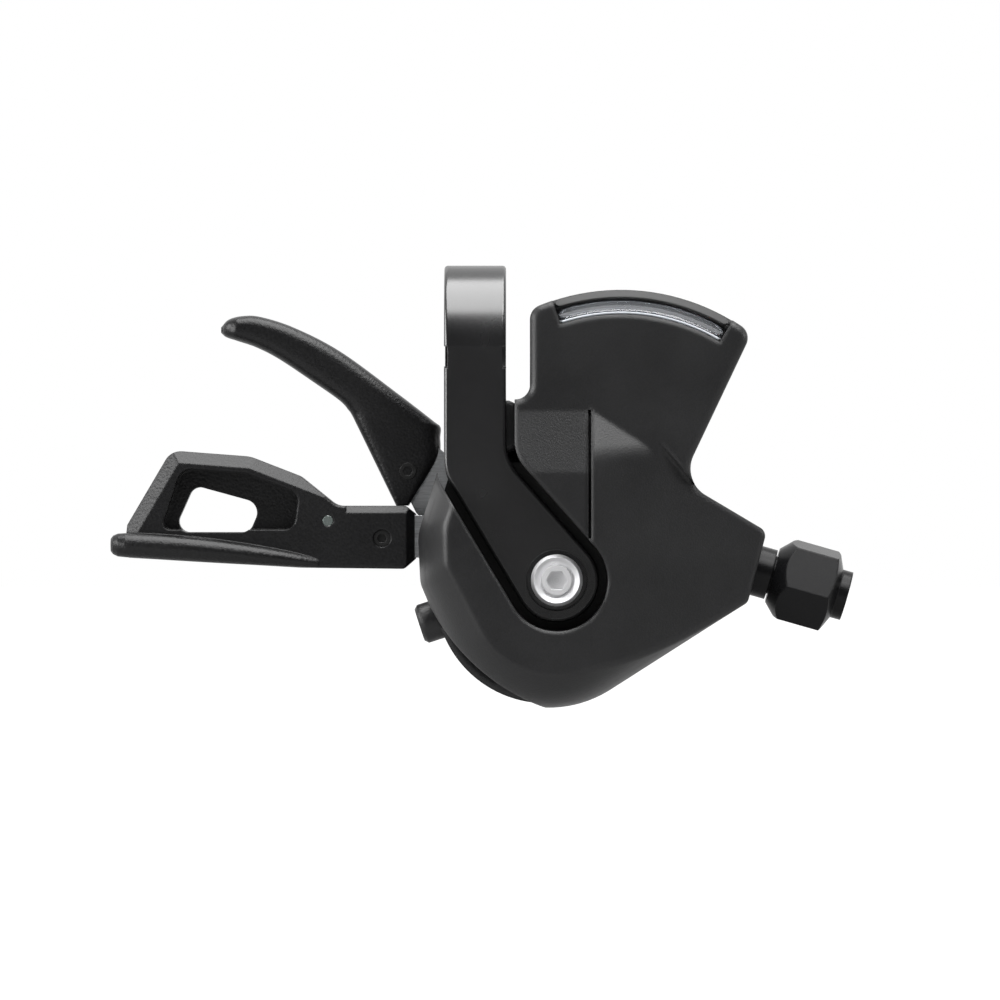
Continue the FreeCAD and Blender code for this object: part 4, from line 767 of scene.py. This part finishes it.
class SHIFTER_OT_mechanism(bpy.types.Operator):
    """Machined and spring steel inside the housing, the drum, the bracket and the small screws"""

    bl_idname = "shifter.mechanism"
    bl_label = "Mechanism"

    def execute(self, context):
        machined = lined_metal("machined_steel", colour=(0.46, 0.46, 0.47), roughness=0.32,
                               lines=0.4, per_metre=(300.0, 4000.0, 4000.0))
        set_material(machined, "main_axle", "axle_nut", "axle_washer", "lever_spacer",
                     "needle_post", "ratchet_plate", "winding_pawl", "winding_pawl_pin",
                     "holding_pawl", "holding_pawl_pin")
        spring = lined_metal("spring_steel", colour=(0.38, 0.39, 0.41), roughness=0.25,
                             lines=0.3, per_metre=(900.0, 900.0, 900.0))
        set_material(spring, "winder_spring", "main_lever_spring", "release_lever_spring")
        drum = moulded_plastic(
            "drum_plastic", colour=(0.12, 0.12, 0.125), roughness=0.5,
            grain=3000.0, speckle=0.5, bump=0.3, gloss=0.4, edge=0.2 * MM)
        set_material(drum, "cable_winder")
        screw = coated_metal("black_steel", colour=(0.006, 0.006, 0.006), roughness=0.38,
                             gloss=0.4, edge=0.15 * MM)
        set_material(screw, "cover_screws", "main_lever_screw", "release_lever_screw",
                     "base_bracket")
        return {"FINISHED"}


def add_lamp(name, place, side, power):
    """A soft square lamp at a place, turned to the object's middle."""
    lamp = bpy.data.lights.new(name, "AREA")
    lamp.shape = "SQUARE"
    lamp.size = side
    lamp.energy = power
    holder = bpy.data.objects.new(name, lamp)
    holder.location = place
    aim = Vector(LAMP_AIM) - Vector(place)
    holder.rotation_euler = aim.to_track_quat("-Z", "Y").to_euler()
    bpy.context.scene.collection.objects.link(holder)


def seen_strength(nodes, others, seen, along, near, far):
    """One strength for camera, glossy and transmitted rays, and another for all others.

    Camera rays get the whole of it. For the rest it falls to a small share from the far to the
    near end of a value along Y, as in a studio whose white paper is behind the object and whose
    dark side is behind the photographer.
    """
    path = nodes.add("ShaderNodeLightPath")
    camera = path.outputs["Is Camera Ray"]
    direct = nodes.math("MAXIMUM", "camera or glossy", camera, path.outputs["Is Glossy Ray"])
    shown = nodes.math("MAXIMUM", "or transmitted", direct, path.outputs["Is Transmission Ray"])
    strength = nodes.add("ShaderNodeMapRange", "strength")
    nodes.fill(strength, Value=shown, To_Min=others, To_Max=seen)
    depth = nodes.add("ShaderNodeSeparateXYZ")
    nodes.fill(depth, Vector=along)
    studio = nodes.add("ShaderNodeMapRange", "dark side")
    nodes.fill(studio, Value=depth.outputs["Y"], From_Min=near, From_Max=far)
    nodes.fill(studio, To_Min=DARK_SIDE, To_Max=1.0)
    share = nodes.math("MAXIMUM", "whole for the camera", camera, studio.outputs["Result"])
    return nodes.math("MULTIPLY", "strength by side", strength.outputs["Result"], share)


def paper_glow(nodes, place):
    """Share of white that the floor adds: half under the lamp, all where the lamp is weak."""
    flat = nodes.add("ShaderNodeVectorMath", "on the floor", operation="MULTIPLY")
    nodes.join(place, flat.inputs[0])
    flat.inputs[1].default_value = (1.0, 1.0, 0.0)
    reach = nodes.add("ShaderNodeVectorMath", "distance from the middle", operation="LENGTH")
    nodes.join(flat.outputs[0], reach.inputs[0])
    glow = nodes.add("ShaderNodeMapRange", "glow")
    nodes.fill(glow, Value=reach.outputs["Value"], From_Min=0.15, From_Max=0.9)
    nodes.fill(glow, To_Min=0.5, To_Max=1.0)
    return glow.outputs["Result"]


def aim_camera(scene, stage):
    """A level camera that looks along +Y and frames the given width at the clamp strip."""
    camera = bpy.data.cameras.new("camera")
    camera.sensor_width = 36.0
    camera.lens = camera.sensor_width * stage.distance / stage.frame_width
    camera.clip_start = 0.05
    camera.clip_end = 50.0
    holder = bpy.data.objects.new("camera", camera)
    holder.location = (stage.aim_x, stage.strip_face - stage.distance, stage.aim_z)
    holder.rotation_euler = (math.pi / 2, 0.0, 0.0)
    scene.collection.objects.link(holder)
    scene.camera = holder


def paper_floor(scene, stage):
    """A wide flat sheet of pale paper below the object, which takes its shadow."""
    corners = FLOOR_HALF * np.array([(-1, -1), (1, -1), (1, 1), (-1, 1)])
    points = np.column_stack([corners, np.full(4, -stage.floor_drop)])
    floor_mesh = bpy.data.meshes.new("floor")
    floor_mesh.from_pydata(points.tolist(), [], [(0, 1, 2, 3)])
    floor = bpy.data.objects.new("floor", floor_mesh)
    scene.collection.objects.link(floor)
    paper, nodes, shader = new_material("floor_paper")
    shader.inputs["Base Color"].default_value = rgba(stage.floor_colour)
    shader.inputs["Roughness"].default_value = 0.9
    shader.inputs["Specular IOR Level"].default_value = 0.1
    shader.inputs["Emission Color"].default_value = WHITE
    place = nodes.add("ShaderNodeTexCoord").outputs["Object"]
    seen = seen_strength(nodes, others=0.0, seen=1.0, along=place, near=0.1, far=1.2)
    glow = nodes.math("MULTIPLY", "glow that is seen", paper_glow(nodes, place), seen)
    nodes.join(glow, shader.inputs["Emission Strength"])
    floor_mesh.materials.append(paper)


def white_surroundings(world):
    """White for camera, glossy and transmitted rays, and a dim even light for all others."""
    world.use_nodes = True
    world.node_tree.nodes.clear()
    nodes = Nodes(world.node_tree)
    light = nodes.add("ShaderNodeBackground")
    light.inputs["Color"].default_value = WHITE
    direction = nodes.add("ShaderNodeTexCoord").outputs["Generated"]
    strength = seen_strength(nodes, others=0.45, seen=1.0, along=direction, near=-0.6, far=0.4)
    nodes.join(strength, light.inputs["Strength"])
    out = nodes.add("ShaderNodeOutputWorld")
    nodes.join(light.outputs["Background"], out.inputs["Surface"])


class SHIFTER_OT_stage(bpy.types.Operator):
    """Camera, pale floor, white surroundings and soft lamps"""

    bl_idname = "shifter.stage"
    bl_label = "Stage"

    def execute(self, context):
        scene = context.scene
        scene.view_settings.view_transform = "Standard"
        aim_camera(scene, scene.shifter_stage)
        paper_floor(scene, scene.shifter_stage)
        if scene.world is None:
            scene.world = bpy.data.worlds.new("surroundings")
        white_surroundings(scene.world)
        for lamp in LAMPS:
            add_lamp(*lamp)
        return {"FINISHED"}


OPERATORS = (
    SHIFTER_OT_housing,
    SHIFTER_OT_levers,
    SHIFTER_OT_clamp,
    SHIFTER_OT_adjuster,
    SHIFTER_OT_window,
    SHIFTER_OT_mechanism,
    SHIFTER_OT_stage,
)


class SHIFTER_PT_panel(bpy.types.Panel):
    """Sidebar panel with the shifter's values and its steps"""

    bl_idname = "SHIFTER_PT_panel"
    bl_label = "Trigger Shifter"
    bl_space_type = "VIEW_3D"
    bl_region_type = "UI"
    bl_category = "Shifter"

    def draw(self, context):
        column = self.layout.column()
        scene = context.scene
        groups = (scene.shifter_finishes, scene.shifter_window, scene.shifter_cover,
                  scene.shifter_stage)
        for group in groups:
            for name in group.__annotations__:
                column.prop(group, name)
        for operator in OPERATORS:
            column.operator(operator.bl_idname)


CLASSES = (
    ShifterFinishes,
    ShifterWindow,
    ShifterCover,
    ShifterStage,
    *OPERATORS,
    SHIFTER_PT_panel,
)


def register():
    """Registers the classes and puts the property groups on the scene."""
    for item in CLASSES:
        bpy.utils.register_class(item)
    bpy.types.Scene.shifter_finishes = PointerProperty(type=ShifterFinishes)
    bpy.types.Scene.shifter_window = PointerProperty(type=ShifterWindow)
    bpy.types.Scene.shifter_cover = PointerProperty(type=ShifterCover)
    bpy.types.Scene.shifter_stage = PointerProperty(type=ShifterStage)


def unregister():
    """Takes the property groups and the classes away again."""
    del bpy.types.Scene.shifter_stage
    del bpy.types.Scene.shifter_cover
    del bpy.types.Scene.shifter_window
    del bpy.types.Scene.shifter_finishes
    for item in reversed(CLASSES):
        bpy.utils.unregister_class(item)


def main():
    register()
    bpy.ops.shifter.housing()
    bpy.ops.shifter.levers()
    bpy.ops.shifter.clamp()
    bpy.ops.shifter.adjuster()
    bpy.ops.shifter.window()
    bpy.ops.shifter.mechanism()
    bpy.ops.shifter.stage()
    bpy.context.view_layer.update()


if __name__ == "__main__":
    main()
